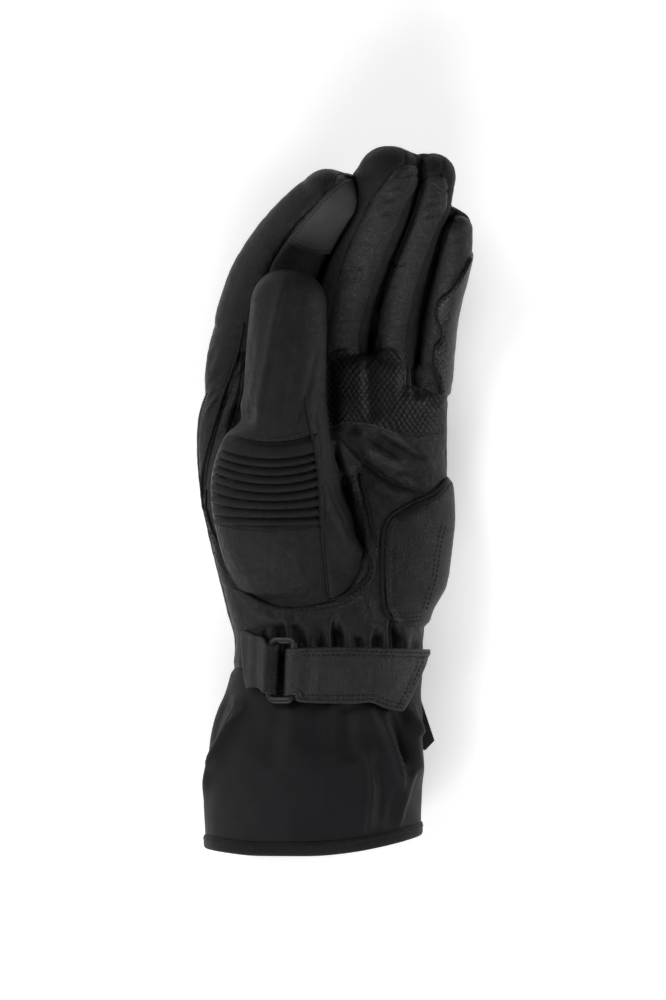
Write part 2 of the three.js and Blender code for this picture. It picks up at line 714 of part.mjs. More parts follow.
// The cuff is a folded fabric tube, with a binding round its hem.
const cuffOuter = loopsOf(cuff, 0, 0).loops;
const cuffInner = loopsOf({ ...cuff, sides: { palm: 18, back: 8 } }, -FABRIC, FABRIC).loops;
keep("cuff", skin([...cuffOuter, ...cuffInner.reverse()], { round: true }), FINISH.fabric);
const hem = frameAt(cuff, 0);
const hemForm = { ...cuff, lift: (point) => hemLift(point.clone().setY(HEM_Y)) };
const bindingLoops = BINDING.map(({ drop, grow }) => {
  const frame = {
    ...hem,
    centre: hem.centre.clone().setY(HEM_Y - drop),
    halfWidth: hem.halfWidth + grow,
    halfHeight: hem.halfHeight + grow,
  };
  return loopOf(hemForm, frame, { palm: 15, back: 8 }, Math.max(-grow, 0));
});
keep("cuff_binding", skin(bindingLoops, { round: true }), FINISH.binding);

// A patch over the hand and fingers, inside its outline as seen from above.
function patch(outline, forms, thickness, low) {
  const over = union(forms.map((form) => filled(form, GAP + thickness)));
  const under = union(forms.map(clearOf));
  return over.intersect(prism(outline, low, 120)).subtract(under);
}
const handAndFingers = [hand, ...Object.values(fingers)];
keep("grip_patch", patch(GRIP, handAndFingers, PATCH, 14).subtract(thumbClear), FINISH.rubberGrip);
keep("heel_pad", patch(HEEL_PAD, [hand], HEEL_PAD_THICKNESS, 12), FINISH.leather);
const pad = patch(TOUCH_PAD, [fingers.index], PATCH, 30).intersect(overSeam(fingers.index, 0.2, 0));
keep("index_touch_pad", pad.subtract(fingerClears.middle), FINISH.touch);

// A patch that follows one tube between two angles at each row position.
function patchRound(form, edges, thickness, columns) {
  const LIFT = 2.8 * GAP;
  const grid = (grow) =>
    edges.map(({ t, from, to }) => {
      const frame = frameAt(form, t);
      const grown = {
        ...frame,
        halfWidth: frame.halfWidth + grow,
        halfHeight: frame.halfHeight + grow,
      };
      return Array.from({ length: columns }, (_, i) =>
        pointAt(form, grown, degToRad(lerp(from, to, i / (columns - 1)))));
    });
  return plate(grid(LIFT + thickness), grid(LIFT));
}
keep(
  "little_finger_guard",
  patchRound(fingers.little, GUARD, PATCH, 8).subtract(union([handClear, fingerClears.ring])),
  FINISH.leather,
);
keep("index_back_strip", patchRound(fingers.index, BACK_STRIP, PATCH, 6), FINISH.backLeather);

// The strap and the tab are bands that lie over the wrist and fold round the ring's two bars.
// A point of a band is so far along the wrist from the ring's middle, and so high over it.
const BAR_AT = (RING_WIDTH - RING_BAR) / 2;
const BAND_LOW = 2.2 + STRAP / 2;
const BAND_UPPER = BAND_LOW + STRAP + GAP;
const FOLD_ALONG = RING_BAR / 2 + 2 * GAP + STRAP / 2;
const FOLD_UP = RING_THICKNESS / 2 + 2.3 * GAP + STRAP / 2;
const BAR_HEIGHT = BAND_LOW + FOLD_UP;
const foldRound = (bar, toward) =>
  Array.from({ length: 7 }, (_, i) => {
    const turn = (Math.PI * i) / 6;
    return [
      bar + toward * FOLD_ALONG * Math.sin(turn),
      BAR_HEIGHT - FOLD_UP * Math.cos(turn),
    ];
  });
const STRAP_PATH = [
  [BAR_AT + 9, BAND_LOW],
  ...foldRound(BAR_AT, -1),
  [BAR_AT + 5, BAR_HEIGHT + FOLD_UP * 0.7],
  [BAR_AT + 10, BAND_UPPER],
  [BAR_AT + 14, BAND_UPPER - 1],
  [BAR_AT + 19, BAND_LOW],
  ...[30, 38, 46, 52, 57, 62, 66, 70].map((along) => [along, BAND_LOW]),
];
const TAB_PATH = [
  [-BAR_AT - 4.5, BAND_LOW],
  ...foldRound(-BAR_AT, 1),
  [-BAR_AT - 2.2, BAR_HEIGHT + FOLD_UP],
  [-BAR_AT - 5.5, BAND_UPPER],
  [-BAR_AT - 8, BAND_UPPER - 1.2],
  [-BAR_AT - 11, BAND_LOW],
  [-BAR_AT - 16, BAND_LOW],
  [-BAR_AT - 21, BAND_LOW],
];

const lineThrough = (rows) =>
  new THREE.CatmullRomCurve3(
    rows.map(({ x, z }) => new THREE.Vector3(x, RING_Y, z)), false, "centripetal",
  );
const wristLine = lineThrough(WRIST_LINE);
wristLine.arcLengthDivisions = 400;
const wristLength = wristLine.getLength();
const afterRing = lineThrough(WRIST_LINE.filter(({ x }) => x >= RING_X)).getLength();
const ringShare = 1 - afterRing / wristLength;
const ringAcross = wristLine.getTangentAt(ringShare);
const wristRun = new THREE.Vector3(0, 1, WRIST_SLOPE);
wristRun.addScaledVector(ringAcross, -wristRun.dot(ringAcross));
wristRun.multiplyScalar(1 / wristRun.y);

function overWrist(along, height, y) {
  const share = clamp(ringShare + along / wristLength, 0, 1);
  const tangent = wristLine.getTangentAt(share);
  const point = wristLine.getPointAt(share);
  point.add(new THREE.Vector3(-tangent.z, 0, tangent.x).multiplyScalar(height));
  return point.addScaledVector(wristRun, y - RING_Y);
}

function band(path, lowY, highY) {
  const edge = (side) =>
    path.map(([along, height], i) => {
      const before = path[Math.max(i - 1, 0)];
      const after = path[Math.min(i + 1, path.length - 1)];
      const run = new THREE.Vector2(after[0] - before[0], after[1] - before[1]).normalize();
      return [along - (side * run.y * STRAP) / 2, height + (side * run.x * STRAP) / 2];
    });
  const grid = (side) => [lowY, highY].map((y) => edge(side).map(([a, h]) => overWrist(a, h, y)));
  return plate(grid(1), grid(-1));
}
const wristClear = union([cuffClear, handClear]);
const strap = band(STRAP_PATH, 60, 96).intersect(prism(STRAP_OUTLINE, 0, 80));
const tab = band(TAB_PATH, 68, 102).intersect(prism(TAB_OUTLINE, 0, 80));
keep("wrist_strap", strap.subtract(wristClear), FINISH.leather);
keep("strap_tab", tab.subtract(wristClear), FINISH.leather);

// The ring is a flat bar bent to a rounded rectangle.
function roundedRectangle(width, length, radius) {
  const shape = new THREE.Shape();
  [[1, 1], [-1, 1], [-1, -1], [1, -1]].forEach(([sx, sy], i) => {
    const from = (i * Math.PI) / 2;
    const x = sx * (width / 2 - radius);
    const y = sy * (length / 2 - radius);
    shape.absarc(x, y, radius, from, from + Math.PI / 2, false);
  });
  return shape.getPoints(2);
}
const ringShape = new THREE.Shape(roundedRectangle(RING_WIDTH, RING_LENGTH, 3.6));
const ringHole = roundedRectangle(RING_WIDTH - 2 * RING_BAR, RING_LENGTH - 2 * RING_BAR, 1.6);
ringShape.holes.push(new THREE.Path(ringHole));
const ringBody = new THREE.ExtrudeGeometry(ringShape, {
  depth: RING_THICKNESS, bevelEnabled: false,
});
ringBody.translate(0, 0, -RING_THICKNESS / 2);
const ringUp = ringAcross.clone().cross(wristRun.clone().normalize());
const ringPlace = new THREE.Matrix4()
  .makeBasis(ringAcross, wristRun.clone().normalize(), ringUp)
  .setPosition(overWrist(0, BAR_HEIGHT, RING_Y));
keep("strap_ring", solidOfGeometry(ringBody.applyMatrix4(ringPlace)), FINISH.plastic);

// A bare ribbon label, sewn into the cuff's side.
keep("side_label", prism(LABEL, 25, 26.2).subtract(cuffClear), FINISH.ribbon);

// The origin is under the middle of the glove's outline.
const bounds = new THREE.Box3().setFromObject(glove);
const middle = bounds.getCenter(new THREE.Vector3());
for (const piece of glove.children) {
  piece.geometry.translate(-middle.x, -middle.y, -bounds.min.z);
}

export default glove;
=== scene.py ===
# A left-hand leather motorcycle glove that lies on its back with the palm up.
# Tables and outlines are in millimetres, in the frame that the sizes were read in: +X points to the
# little finger's side, +Y to the fingertips and +Z up. make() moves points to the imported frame, in metres.
from itertools import product
from types import SimpleNamespace

import bpy
import numpy as np
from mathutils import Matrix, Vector
from mathutils.bvhtree import BVHTree


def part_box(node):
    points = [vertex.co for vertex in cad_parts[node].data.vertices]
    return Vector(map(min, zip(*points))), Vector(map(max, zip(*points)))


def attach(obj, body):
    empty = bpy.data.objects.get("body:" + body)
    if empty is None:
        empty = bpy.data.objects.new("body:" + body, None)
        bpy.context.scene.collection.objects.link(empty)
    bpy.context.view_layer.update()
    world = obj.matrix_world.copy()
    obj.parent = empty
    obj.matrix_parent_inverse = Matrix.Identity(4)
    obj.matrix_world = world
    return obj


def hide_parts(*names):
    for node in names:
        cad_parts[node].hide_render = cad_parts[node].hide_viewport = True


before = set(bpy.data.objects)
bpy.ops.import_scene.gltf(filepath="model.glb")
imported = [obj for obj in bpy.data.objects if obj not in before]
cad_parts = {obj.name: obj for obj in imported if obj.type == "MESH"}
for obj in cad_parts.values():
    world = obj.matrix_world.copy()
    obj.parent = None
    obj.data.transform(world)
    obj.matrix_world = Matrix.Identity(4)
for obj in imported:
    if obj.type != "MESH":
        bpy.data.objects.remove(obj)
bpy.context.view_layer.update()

# Driving dimensions
WRIST_Y = 84.0  # where the cuff's fabric meets the gathered leather
HEM_Y = 6.5  # upper edge of the hem binding at its lowest point
LEATHER = 1.2  # outer leather, without the padding and lining under it
FABRIC = 1.0
LINING = 0.8
STRAP = 1.8
RIB_COUNT = 8  # padded ribs across the base of the thumb
RIB_HEIGHT = 2.0
RIB_TOP_Y = 177.7  # the middle of the first groove
RIB_LOW_Y = 147.6
RIB_X = -27.5
RIB_SAG = 5.0  # how much higher the ribs' ends are than their middle, as seen from above
GATHER_PITCH = 8.7
GATHER_X = -14.7
GATHER_DEPTH = 4.4
RING_X = -21.5
RING_Y = 83.5
RING_LENGTH = 30.1
RING_WIDTH = 13.4
RING_BAR = 3.0
RING_THICKNESS = 2.2
SIDE_SEAM = 0.12  # the hand's side seam, in half heights of its section
THUMB_SEAM = 0.1
FINGER_SEAM = 0.15
INDEX_SEAM = -0.3  # lower, so the index finger's front comes further round
FINGER_START = 0.3  # row position where the fingers' walls begin
THUMB_START = 0.05
THUMB_SIDE_X = -12.0
BINDING_DROP = 6.2  # how far the hem binding hangs below the cuff's edge
GAP = 0.32
GRIP_PITCH = 2.05  # between the grip patch's crossing lines
GRIP_SLANT = (0.82, 0.57)  # how fast each set of those lines is crossed along X and along Y
GRIP_STEP = 0.42  # grid step of the grip patch
PIPING_SHIFT = 1.1  # from each line of the double seam to its piping
THUMB_LAP = 6.5  # how far the hand's wall runs on inside the thumb
FINGER_LAP = 2.6  # and inside the fingers
THUMB_TUCK = 4.2  # how far the thumb is drawn in beside the palm and over the ribs' outer end
STRETCH_TOP = 185.6  # Y of the stretch panel's edges, in the middle of the ribs
STRETCH_LOW = 148.0
RING_CORNER = 2.4
STRAP_STEP = 0.55  # grid steps along the strap and its tab, and across them
STRAP_ROW = 0.6
HEM_STEP = 0.55  # grid steps across the hem tape and round the hem
HEM_ROUND = 0.9
HEM_SEWN = (1.5, 0.8)  # where the tape is sewn, as a place on its profile
LABEL_Z = 25.6
LABEL_THICKNESS = 0.5
FINE = 0.8  # grid step where detail shows
COARSE = 1.3
ABOVE_ALL = 120.0  # a height over every piece

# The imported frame's place, from two of its flat cut faces
side_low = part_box("thumb_side_panel")[0]
hem_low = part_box("cuff_binding")[0]
SHIFT = np.array([
    THUMB_SIDE_X + GAP / 2 - side_low.x * 1000,
    HEM_Y - BINDING_DROP - hem_low.y * 1000,
    0.0,
])

# Sections of each form: y, x, z, half width, half height, and roll to +X in degrees
HAND = [
    [84.4, -2.2, 23.5, 42.5, 23.2, 0], [97, -1.8, 23.5, 42.3, 22.6, 0],
    [109, -2.5, 23.0, 44.8, 22.6, 2], [120, -0.9, 22.0, 49.1, 22.6, 3],
    [131, -1.2, 21.3, 51.6, 22.4, 3], [152, -2.6, 20.6, 55.2, 21.6, 3],
    [174, -4.7, 19.8, 56.2, 20.6, 4], [195, -4.7, 19.6, 56.2, 19.6, 6],
    [213, -3.6, 20.2, 54.4, 18.2, 8],
]
CUFF = [
    [HEM_Y, -9, 29.2, 48.8, 30.4, 0], [22, -9.3, 29.2, 49.2, 30.6, 0],
    [34, -8.6, 28.9, 49.4, 30.4, 0], [45, -8.2, 28.2, 48.6, 29.6, 0],
    [55, -7.4, 26.6, 47.8, 27.4, 0], [65, -6.0, 25.5, 46.2, 25.7, 0],
    [73, -4.4, 24.4, 44.2, 24.4, 0], [WRIST_Y, -2.4, 23.6, 42.8, 23.4, 0],
    [88, -2.2, 23.5, 41.4, 22.0, 0],
]
INDEX = [
    [196, -36, 21, 19.5, 12.5, 12], [214, -36.2, 22, 20.6, 13.5, 14],
    [230, -33.4, 24, 20.8, 14.2, 16], [246, -30.0, 27.5, 20.2, 14.2, 20],
    [260, -25.4, 33, 19.4, 13.8, 26], [274, -17.6, 41.5, 18.2, 13.2, 32],
    [286, -9.0, 50, 16.4, 12.2, 36], [295, -1.2, 56, 14.2, 11.4, 38],
]
MIDDLE = [
    [200, 3.6, 20, 11.6, 11.2, 4], [216, 3.2, 21.5, 12.6, 11.4, 4],
    [232, 3.4, 24.5, 13.2, 11.6, 4], [250, 6.2, 31.5, 13.8, 11.8, 5],
    [270, 12.4, 42, 14.6, 12.2, 6], [290, 21.2, 52.5, 14.4, 12.4, 8],
    [303, 25.2, 58.5, 14.8, 11.8, 10],
]
RING = [
    [200, 27.4, 18.5, 10.2, 10.8, 5], [216, 27.4, 19.5, 10.4, 11.0, 5],
    [232, 28, 22.5, 10.6, 11.2, 6], [250, 30, 29, 10.8, 11.2, 7],
    [270, 35, 38.5, 10.8, 11.2, 8], [290, 41.4, 48.5, 10.8, 11.0, 10],
    [303, 44.6, 54, 10.0, 10.2, 12],
]
LITTLE = [
    [199, 41.8, 16.5, 8.0, 9.2, 8], [214, 44, 16.8, 8.8, 9.8, 8],
    [230, 45.6, 18.5, 8.6, 10.4, 8], [246, 47.8, 24, 8.4, 10.4, 10],
    [260, 50.8, 31, 8.8, 10.0, 12], [272, 53.4, 37.5, 8.9, 9.4, 14],
    [281, 54.2, 41.5, 8.2, 8.6, 16],
]
THUMB = [
    [118, -13, 27, 24, 17, 6], [128, -13.5, 31.5, 30, 22, 6],
    [142, -18, 36.5, 32.4, 25, 6], [155, -22.5, 42, 31.2, 25, 6],
    [170, -25, 48, 29.6, 23.4, 6], [184, -24.6, 53.2, 25, 20.6, 6],
    [204, -22, 59, 18.9, 17, 6], [226, -20.8, 62.4, 18, 16.4, 6],
    [246, -19.8, 63.6, 17, 15.8, 6],
]

# Folds of the cuff: angle at the wrist and at the hem, half width in degrees, height, from Y, to Y
CUFF_FOLDS = [
    [141, 178, 8, 2.8, 20, 70], [157, 196, 10, -3.0, 20, 72], [57, 33, 8, 3.0, 14, 70],
    [45, 22, 8, -2.4, 26, 70], [33, 6, 8, 2.4, 26, 70], [80, 86, 8, -2.6, 36, 70],
    [108, 100, 10, 1.6, 40, 70], [62, 63, 8, 1.2, 4, 34], [262, 258, 14, 1.4, 20, 80],
    [300, 306, 14, 1.4, 20, 80], [228, 222, 12, 1.8, 20, 80],
]

# Dents of the palm: x, y, half length, half width, direction in degrees, height
PALM_DENTS = [
    [22, 178, 34, 22, 0, -3.6], [20, 186, 28, 6.5, -32, -3.0], [34, 180, 24, 7.5, -28, 3.0],
    [14, 160, 22, 7.0, -78, -2.6], [34, 160, 18, 6.0, -25, -1.8], [-20, 110, 24, 9, 8, -1.5],
    [-43.5, 197, 9, 3.0, 72, -3.2],
]

# Folds drawn as lines seen from above: points, half width to the left and right of the line's way, height
PALM_FOLDS = [
    ([[15.6, 229], [15.6, 216], [16, 205], [17.5, 192]], 3.4, 2.4, -1.5),
    ([[32.6, 226], [32.6, 216], [31.5, 205]], 2.0, 2.0, -2.2),
    ([[37.2, 236], [37.6, 222], [38.2, 212], [38.6, 204]], 2.6, 2.6, -4.2),
    ([[-1.4, 231], [-1.8, 212], [-1.4, 196], [1.2, 183]], 4.6, 5.0, -4.0),
    ([[-1, 195], [5, 188.4], [11, 181.6], [18, 174.6], [25.4, 169.6], [36, 165], [44, 161.8]],
     3.4, 2.2, -2.6),
    ([[8.4, 192.6], [16.8, 184.8], [24.6, 179.4], [35, 173.8]], 3.2, 2.6, 2.0),
    ([[18.4, 192], [25, 188.2], [30.8, 184.6], [36.2, 180.8], [42.5, 177]], 2.4, 1.6, -1.8),
    ([[17.6, 169.7], [26.6, 163.3], [33.8, 160.7]], 2.0, 1.8, 1.0),
    ([[7.2, 167.8], [9.5, 158.8], [12.6, 148.1], [16.2, 137.2]], 1.2, 1.0, 1.1),
    ([[3.6, 174], [6.2, 164], [9.4, 153], [12.2, 143], [14.4, 132]], 2.4, 3.0, -4.8),
    ([[0.5, 186.8], [1.8, 177.8], [2.7, 169.2]], 2.0, 2.0, -1.4),
    ([[17.6, 159.8], [19.8, 146.2], [18.0, 131.8]], 1.4, 1.4, 0.8),
    ([[12.0, 120.0], [16.0, 112.0], [17.0, 104.0]], 3.0, 3.0, 0.9),
    ([[-38, 112], [-28, 107], [-18, 106]], 3.0, 3.0, 0.8),
]
CUFF_STROKES = [
    ([[-39.5, 71.5], [-43.4, 64], [-47.6, 56], [-52.4, 46], [-55.4, 36]], 3.0, 0.9, 3.4),
    ([[-44.5, 70.5], [-50.3, 59.5], [-55.2, 48.5]], 2.0, 2.2, -2.6),
    ([[17.6, 71], [21.4, 63], [25.2, 53], [28.4, 43], [30.4, 33], [30.2, 24]], 0.9, 2.6, 3.2),
    ([[24.0, 68], [28.6, 57.2], [32.2, 47.2], [33.6, 37]], 2.2, 2.2, -2.8),
    ([[33.0, 70], [36.6, 62], [39.6, 52]], 1.0, 2.0, 2.6),
    ([[14.2, 50], [16.6, 36], [16.6, 22], [14.2, 4]], 3.4, 1.2, 1.5),
    ([[18.8, 46], [21.0, 29], [20.6, 9]], 2.6, 2.6, -1.2),
    ([[38.4, 38], [33.6, 25], [28.4, 5]], 1.6, 2.2, 1.6),
    ([[34.0, 42], [28.6, 26], [24.4, 7]], 2.4, 2.4, -1.1),
    ([[-1.8, 72], [-1.4, 58], [-0.9, 40]], 2.6, 5.0, 1.4),
    ([[6.4, 72], [7.0, 58], [8.6, 40]], 5.0, 5.0, -1.9),
    ([[-22, 70], [-25, 55], [-30, 38]], 6.0, 5.0, -1.0),
]
THUMB_FOLDS = [
    ([[-20.4, 260], [-24.8, 244], [-28.5, 223.5], [-32.2, 204.4], [-34.4, 189.7]], 1.8, 3.0, 1.7),
    ([[-15.2, 256], [-17.4, 232.3], [-20.6, 213.2], [-23.8, 194]], 2.6, 2.6, -0.8),
    ([[-6.5, 229.4], [-10.1, 211.8], [-13.8, 198.5], [-17, 190]], 1.6, 2.2, -0.8),
    ([[-36, 235], [-37.4, 216], [-40, 200]], 2.0, 2.4, -0.5),
    ([[-12.2, 206.6], [-13.4, 198.7], [-16.4, 190.6]], 1.2, 1.0, 0.45),
    ([[-36, 130], [-22, 122], [-8, 121]], 2.4, 2.0, 0.4),
    ([[-31, 143], [-27, 133], [-29, 123]], 2.2, 2.0, -0.3),
    ([[-37, 146], [-35, 137], [-33, 128]], 2.0, 1.8, 0.25),
    ([[-13, 143], [-16, 134], [-13, 124]], 2.0, 2.0, 0.25),
    ([[-5.5, 160], [-1.5, 146], [6.5, 131]], 1.8, 2.2, -0.9),
    ([[-4, 176], [2.5, 160], [10, 143]], 2.0, 2.0, -0.6),
]

# The double seam along the back's edge, left of the thumb
EDGE_SEAMS = [
    ([[-38.8, 239], [-41.7, 226.4], [-45.4, 214.7], [-49.8, 201.5], [-53.4, 189.7], [-56.4, 178],
      [-57.8, 167.7], [-57, 155]], 1.0, 1.0, -1.5),
    ([[-38.4, 234], [-39.5, 220.6], [-41.7, 208.8], [-44.6, 197], [-47.6, 188.3], [-51, 180]],
     0.9, 0.9, -1.2),
]

# Short wrinkles outside it, on the hand's edge and the index finger's root
EDGE_WRINKLES = [
    ([[-48.7, 218.6], [-53.4, 213.1], [-56.5, 209]], 0.9, 0.9, -0.7),
    ([[-49.6, 213.6], [-53.8, 208.8], [-57.4, 204]], 0.8, 0.8, -0.6),
    ([[-51.6, 207.2], [-54.6, 203.2], [-57.5, 198]], 0.9, 0.9, 0.6),
    ([[-51.9, 228.7], [-53.8, 222.5], [-55, 217]], 1.2, 1.2, -0.6),
]

# Seams and deep wrinkles near the fingertips
TIP_FOLDS = [
    ([[32.2, 308.5], [32.6, 313.5], [33.0, 319]], 0.7, 0.7, -0.9),
    ([[30, 303.6], [35.5, 305.2], [41.5, 303.4]], 0.8, 0.8, -0.7),
    ([[48.2, 303], [49.0, 308], [49.4, 313]], 0.7, 0.7, -0.8),
    ([[44.2, 301.6], [46.4, 298.4], [49.2, 297], [53.4, 298.2]], 0.8, 0.8, -1.0),
    ([[19.6, 289.6], [23.4, 292.4], [27.6, 292.2]], 0.9, 1.1, 0.8),
    ([[21.4, 285.6], [25.0, 287.6], [30.0, 286.4]], 0.9, 0.9, -0.8),
    ([[24.6, 296.4], [28.6, 298.2], [33.2, 296.8]], 0.8, 1.0, 0.7),
    ([[40.6, 288.6], [44.4, 291.2], [48.6, 290.2]], 0.8, 1.0, 0.9),
    ([[41.4, 285.4], [44.6, 287.2], [47.6, 286.4]], 0.8, 0.8, -0.8),
    ([[42.4, 294.2], [45.4, 295.0], [48.8, 293.6]], 0.8, 0.8, 0.7),
    ([[5.6, 264], [9.0, 262.6], [13.4, 263.6]], 0.9, 0.9, -0.7),
    ([[4.2, 258.6], [8.6, 257.8], [13.6, 259.2]], 0.9, 0.9, 0.5),
    ([[24.8, 266], [28.6, 264.8], [33.0, 266.0]], 0.9, 0.9, -0.6),
]

# Outlines seen from above
FRONTS = {
    "index": [
        [7, 312], [-0.5, 300], [-8.6, 290.6], [-16.4, 282.2], [-21, 275.4], [-28, 264], [-32, 249.8],
        [-35, 231.8], [-37.4, 205], [0.9, 205], [3.2, 254.3], [16.7, 281], [18, 312],
    ],
    "middle": [
        [-3.2, 205], [-2.3, 231.8], [-1.8, 240.3], [0.9, 252.9], [4.5, 266], [8.6, 277.2],
        [16.2, 292], [21.6, 298.8], [26.6, 305.6], [31.1, 309.2], [36, 309.6], [41.9, 306.5],
        [39.6, 299.7], [32.9, 290.3], [25.7, 274.5], [20.7, 261.9], [15.3, 244.4], [12.6, 231.8],
        [13.5, 205],
    ],
    "ring": [
        [19.8, 205], [20.4, 229], [19, 237], [19.8, 248.9], [22.5, 264.2], [27.5, 278.1],
        [32.9, 290.3], [36, 298.4], [41, 303.8], [46.4, 305.1], [51.3, 302.9], [51.8, 292],
        [49, 284.9], [42.3, 267.8], [37.8, 252.9], [34.7, 240.3], [32.9, 229.5], [34.2, 205],
    ],
    "little": [
        [49.5, 284.9], [47.2, 278.1], [44.1, 264.2], [40.5, 252.9], [37.4, 240.3], [36.4, 227.2],
        [37, 203], [62, 203], [66, 250], [66, 280], [57, 288],
    ],
}
THUMB_FRONT = [
    [-1.4, 104], [-1.4, 116.1], [-3.6, 134.1], [-4.3, 158.9], [-5.2, 171.9], [-6.2, 187.2],
    [-7.4, 197.6], [-5, 206], [3, 216], [3, 275], [-75, 275], [-75, 104],
]
STRIP_SEAM = [[-12.6, 205.7], [-10.6, 194], [-7.9, 180.2], [-6.2, 162], [-5.2, 144], [-2.4, 117]]
GRIP = [
    [-3.6, 221], [-2.7, 225], [5.2, 227.7], [11.2, 225], [13.8, 219.2], [17.1, 221.6], [20.7, 226.8],
    [25.6, 228.1], [30.2, 225], [32.8, 219.2], [33.2, 211.5], [36.9, 211.5], [44, 208], [51, 206],
    [51.4, 198], [50.6, 190], [45, 189.2], [38.7, 188.1], [25.6, 189.9], [17.1, 193.2], [5.8, 194],
    [-3.6, 194],
]
HEEL_PAD = [
    [66, 169], [53.5, 171], [44, 163.4], [32.4, 155.2], [25.6, 150.7], [23.6, 138], [23.4, 114.7],
    [26, 107.5], [30, 103.8], [38, 102.6], [47, 103.6], [66, 108],
]
TOUCH_PAD = [
    [-20.2, 275.6], [-16.4, 273.1], [-10.1, 271.0], [-2.1, 270.2], [1.4, 272.0], [6, 279], [12, 287],
    [15.5, 295], [15.5, 301.5], [10.2, 304.4], [4.6, 302], [-1.3, 296.9], [-6.5, 291.8], [-11.6, 285.9],
    [-16.4, 280],
]
STRAP_OUTLINE = [
    [-26, 92.2], [42.2, 92.7], [42.4, 89], [40.5, 83.2], [32.7, 66.8], [29.2, 65.2], [22.5, 66.8],
    [17, 69], [8.5, 68.6], [-14.5, 69.3], [-17.5, 72.8], [-26, 72.8],
]
TAB_OUTLINE = [
    [-41, 99.9], [-39.2, 77.2], [-36, 75.6], [-33, 75.4], [-31, 73.2], [-27, 72.8], [-20, 72.8],
    [-20, 94.8], [-27, 94.9], [-29.2, 95.4], [-31, 98.2], [-35, 99.4],
]
LABEL = [[36, 73], [38.6, 73], [45.7, 51.5], [41.4, 47], [36, 50]]

# Patches that follow one tube: row position, and the angles round the section they reach
GUARD = [
    [0.62, 62, -44], [1.0, 76, -50], [1.35, 92, -52], [1.7, 97, -54], [2.05, 96, -55],
    [2.35, 84, -56], [2.7, 90, -56], [3.05, 108, -56], [3.5, 106, -54], [3.9, 84, -50],
    [4.5, 60, -40], [5.0, 42, -24],
]
BACK_STRIP = [
    [2.1, 226, 168], [2.3, 232, 158], [3, 230, 158], [4, 228, 160], [5, 226, 160], [6, 224, 158],
    [7, 220, 150],
]

# The line over the wrist that the strap follows, as x and z at the ring's Y, and its slope along Y
WRIST_LINE = [
    [-45.2, 24], [-44.4, 31], [-41, 37], [-36, 40.8], [-32, 42.4], [-28, 43.4], [RING_X, 45.02],
    [-15, 46.65], [-10, 47.4], [-4, 47.7], [5, 47.4], [12, 46.6], [20, 45], [27.6, 42.2],
    [33.6, 38.5], [37.8, 33.9], [40.2, 25], [40.5, 18],
]
WRIST_SLOPE = -0.165


# Numbers and lines
def unit(v):
    return v / np.maximum(np.linalg.norm(v, axis=-1, keepdims=True), 1e-9)


def smoothstep(x, start, end):
    share = np.clip((x - start) / (end - start), 0, 1)
    return share * share * (3 - 2 * share)


def plateau(x, start, full, falling, end):
    """1 between full and falling, and smoothly down to 0 at start and end."""
    return smoothstep(x, start, full) * (1 - smoothstep(x, falling, end))


def bell(x):
    """A bell of height 1 at 0 that is near nothing at 2."""
    return np.exp(-1.5 * x * x)


def hill(x, width):
    """A hill of height 1 at 0 that is down to about a third at its width."""
    return np.exp(-((x / width) ** 2))


def through(rows, t):
    """Rows of numbers at row positions t, on a smooth curve through them."""
    rows = np.asarray(rows, float)
    padded = np.vstack([2 * rows[0] - rows[1], rows, 2 * rows[-1] - rows[-2]])
    i = np.clip(np.floor(t).astype(int), 0, len(rows) - 2)
    f = (np.asarray(t) - i)[..., None]
    p0, p1, p2, p3 = (padded[i + k] for k in range(4))
    cubic = -p0 + 3 * p1 - 3 * p2 + p3
    square = 2 * p0 - 5 * p1 + 4 * p2 - p3
    return 0.5 * (2 * p1 + (p2 - p0) * f + square * f**2 + cubic * f**3)


def lengths(points):
    """How far along a line of points each of them lies."""
    return np.concatenate([[0], np.cumsum(np.linalg.norm(np.diff(points, axis=0), axis=1))])


def even(positions, points, step):
    """Positions about step mm apart along a line of points."""
    reach = lengths(points)
    count = max(round(reach[-1] / step), 2)
    return np.interp(np.linspace(0, reach[-1], count + 1), reach, positions)


def smooth_line(points, step=1.0):
    """A line of points about step mm apart, on a smooth curve through the given ones."""
    dense = np.linspace(0, len(points) - 1, 24 * len(points))
    return through(points, even(dense, through(points, dense), step))


def smooth_outline(corners, step=1.0, grow=0.0):
    """A closed line of points on a smooth curve through corners, moved outwards by some mm."""
    ring = np.array([*corners[-2:], *corners, *corners[:3]], float)
    dense = np.linspace(2, len(corners) + 2, 24 * len(corners))
    points = through(ring, even(dense, through(ring, dense), step))[:-1]
    x, y = points.T
    if (x * np.roll(y, -1) - np.roll(x, -1) * y).sum() < 0:
        points = points[::-1]
    way = unit(np.roll(points, -1, 0) - np.roll(points, 1, 0))
    return points + grow * np.stack([way[:, 1], -way[:, 0]], 1)


def to_line(x, y, line):
    """Distance from each x, y to an open line, over 0 on its left, and its share of the line's length."""
    a, b = line[:-1], line[1:]
    way = b - a
    size = np.maximum((way**2).sum(1), 1e-9)
    dx, dy = x[:, None] - a[:, 0], y[:, None] - a[:, 1]
    along = np.clip((dx * way[:, 0] + dy * way[:, 1]) / size, 0, 1)
    ox, oy = dx - along * way[:, 0], dy - along * way[:, 1]
    apart = np.hypot(ox, oy)
    k = apart.argmin(1)
    i = np.arange(len(x))
    left = way[k, 0] * oy[i, k] - way[k, 1] * ox[i, k]
    return np.where(left > 0, 1, -1) * apart[i, k], (k + along[i, k]) / len(a)


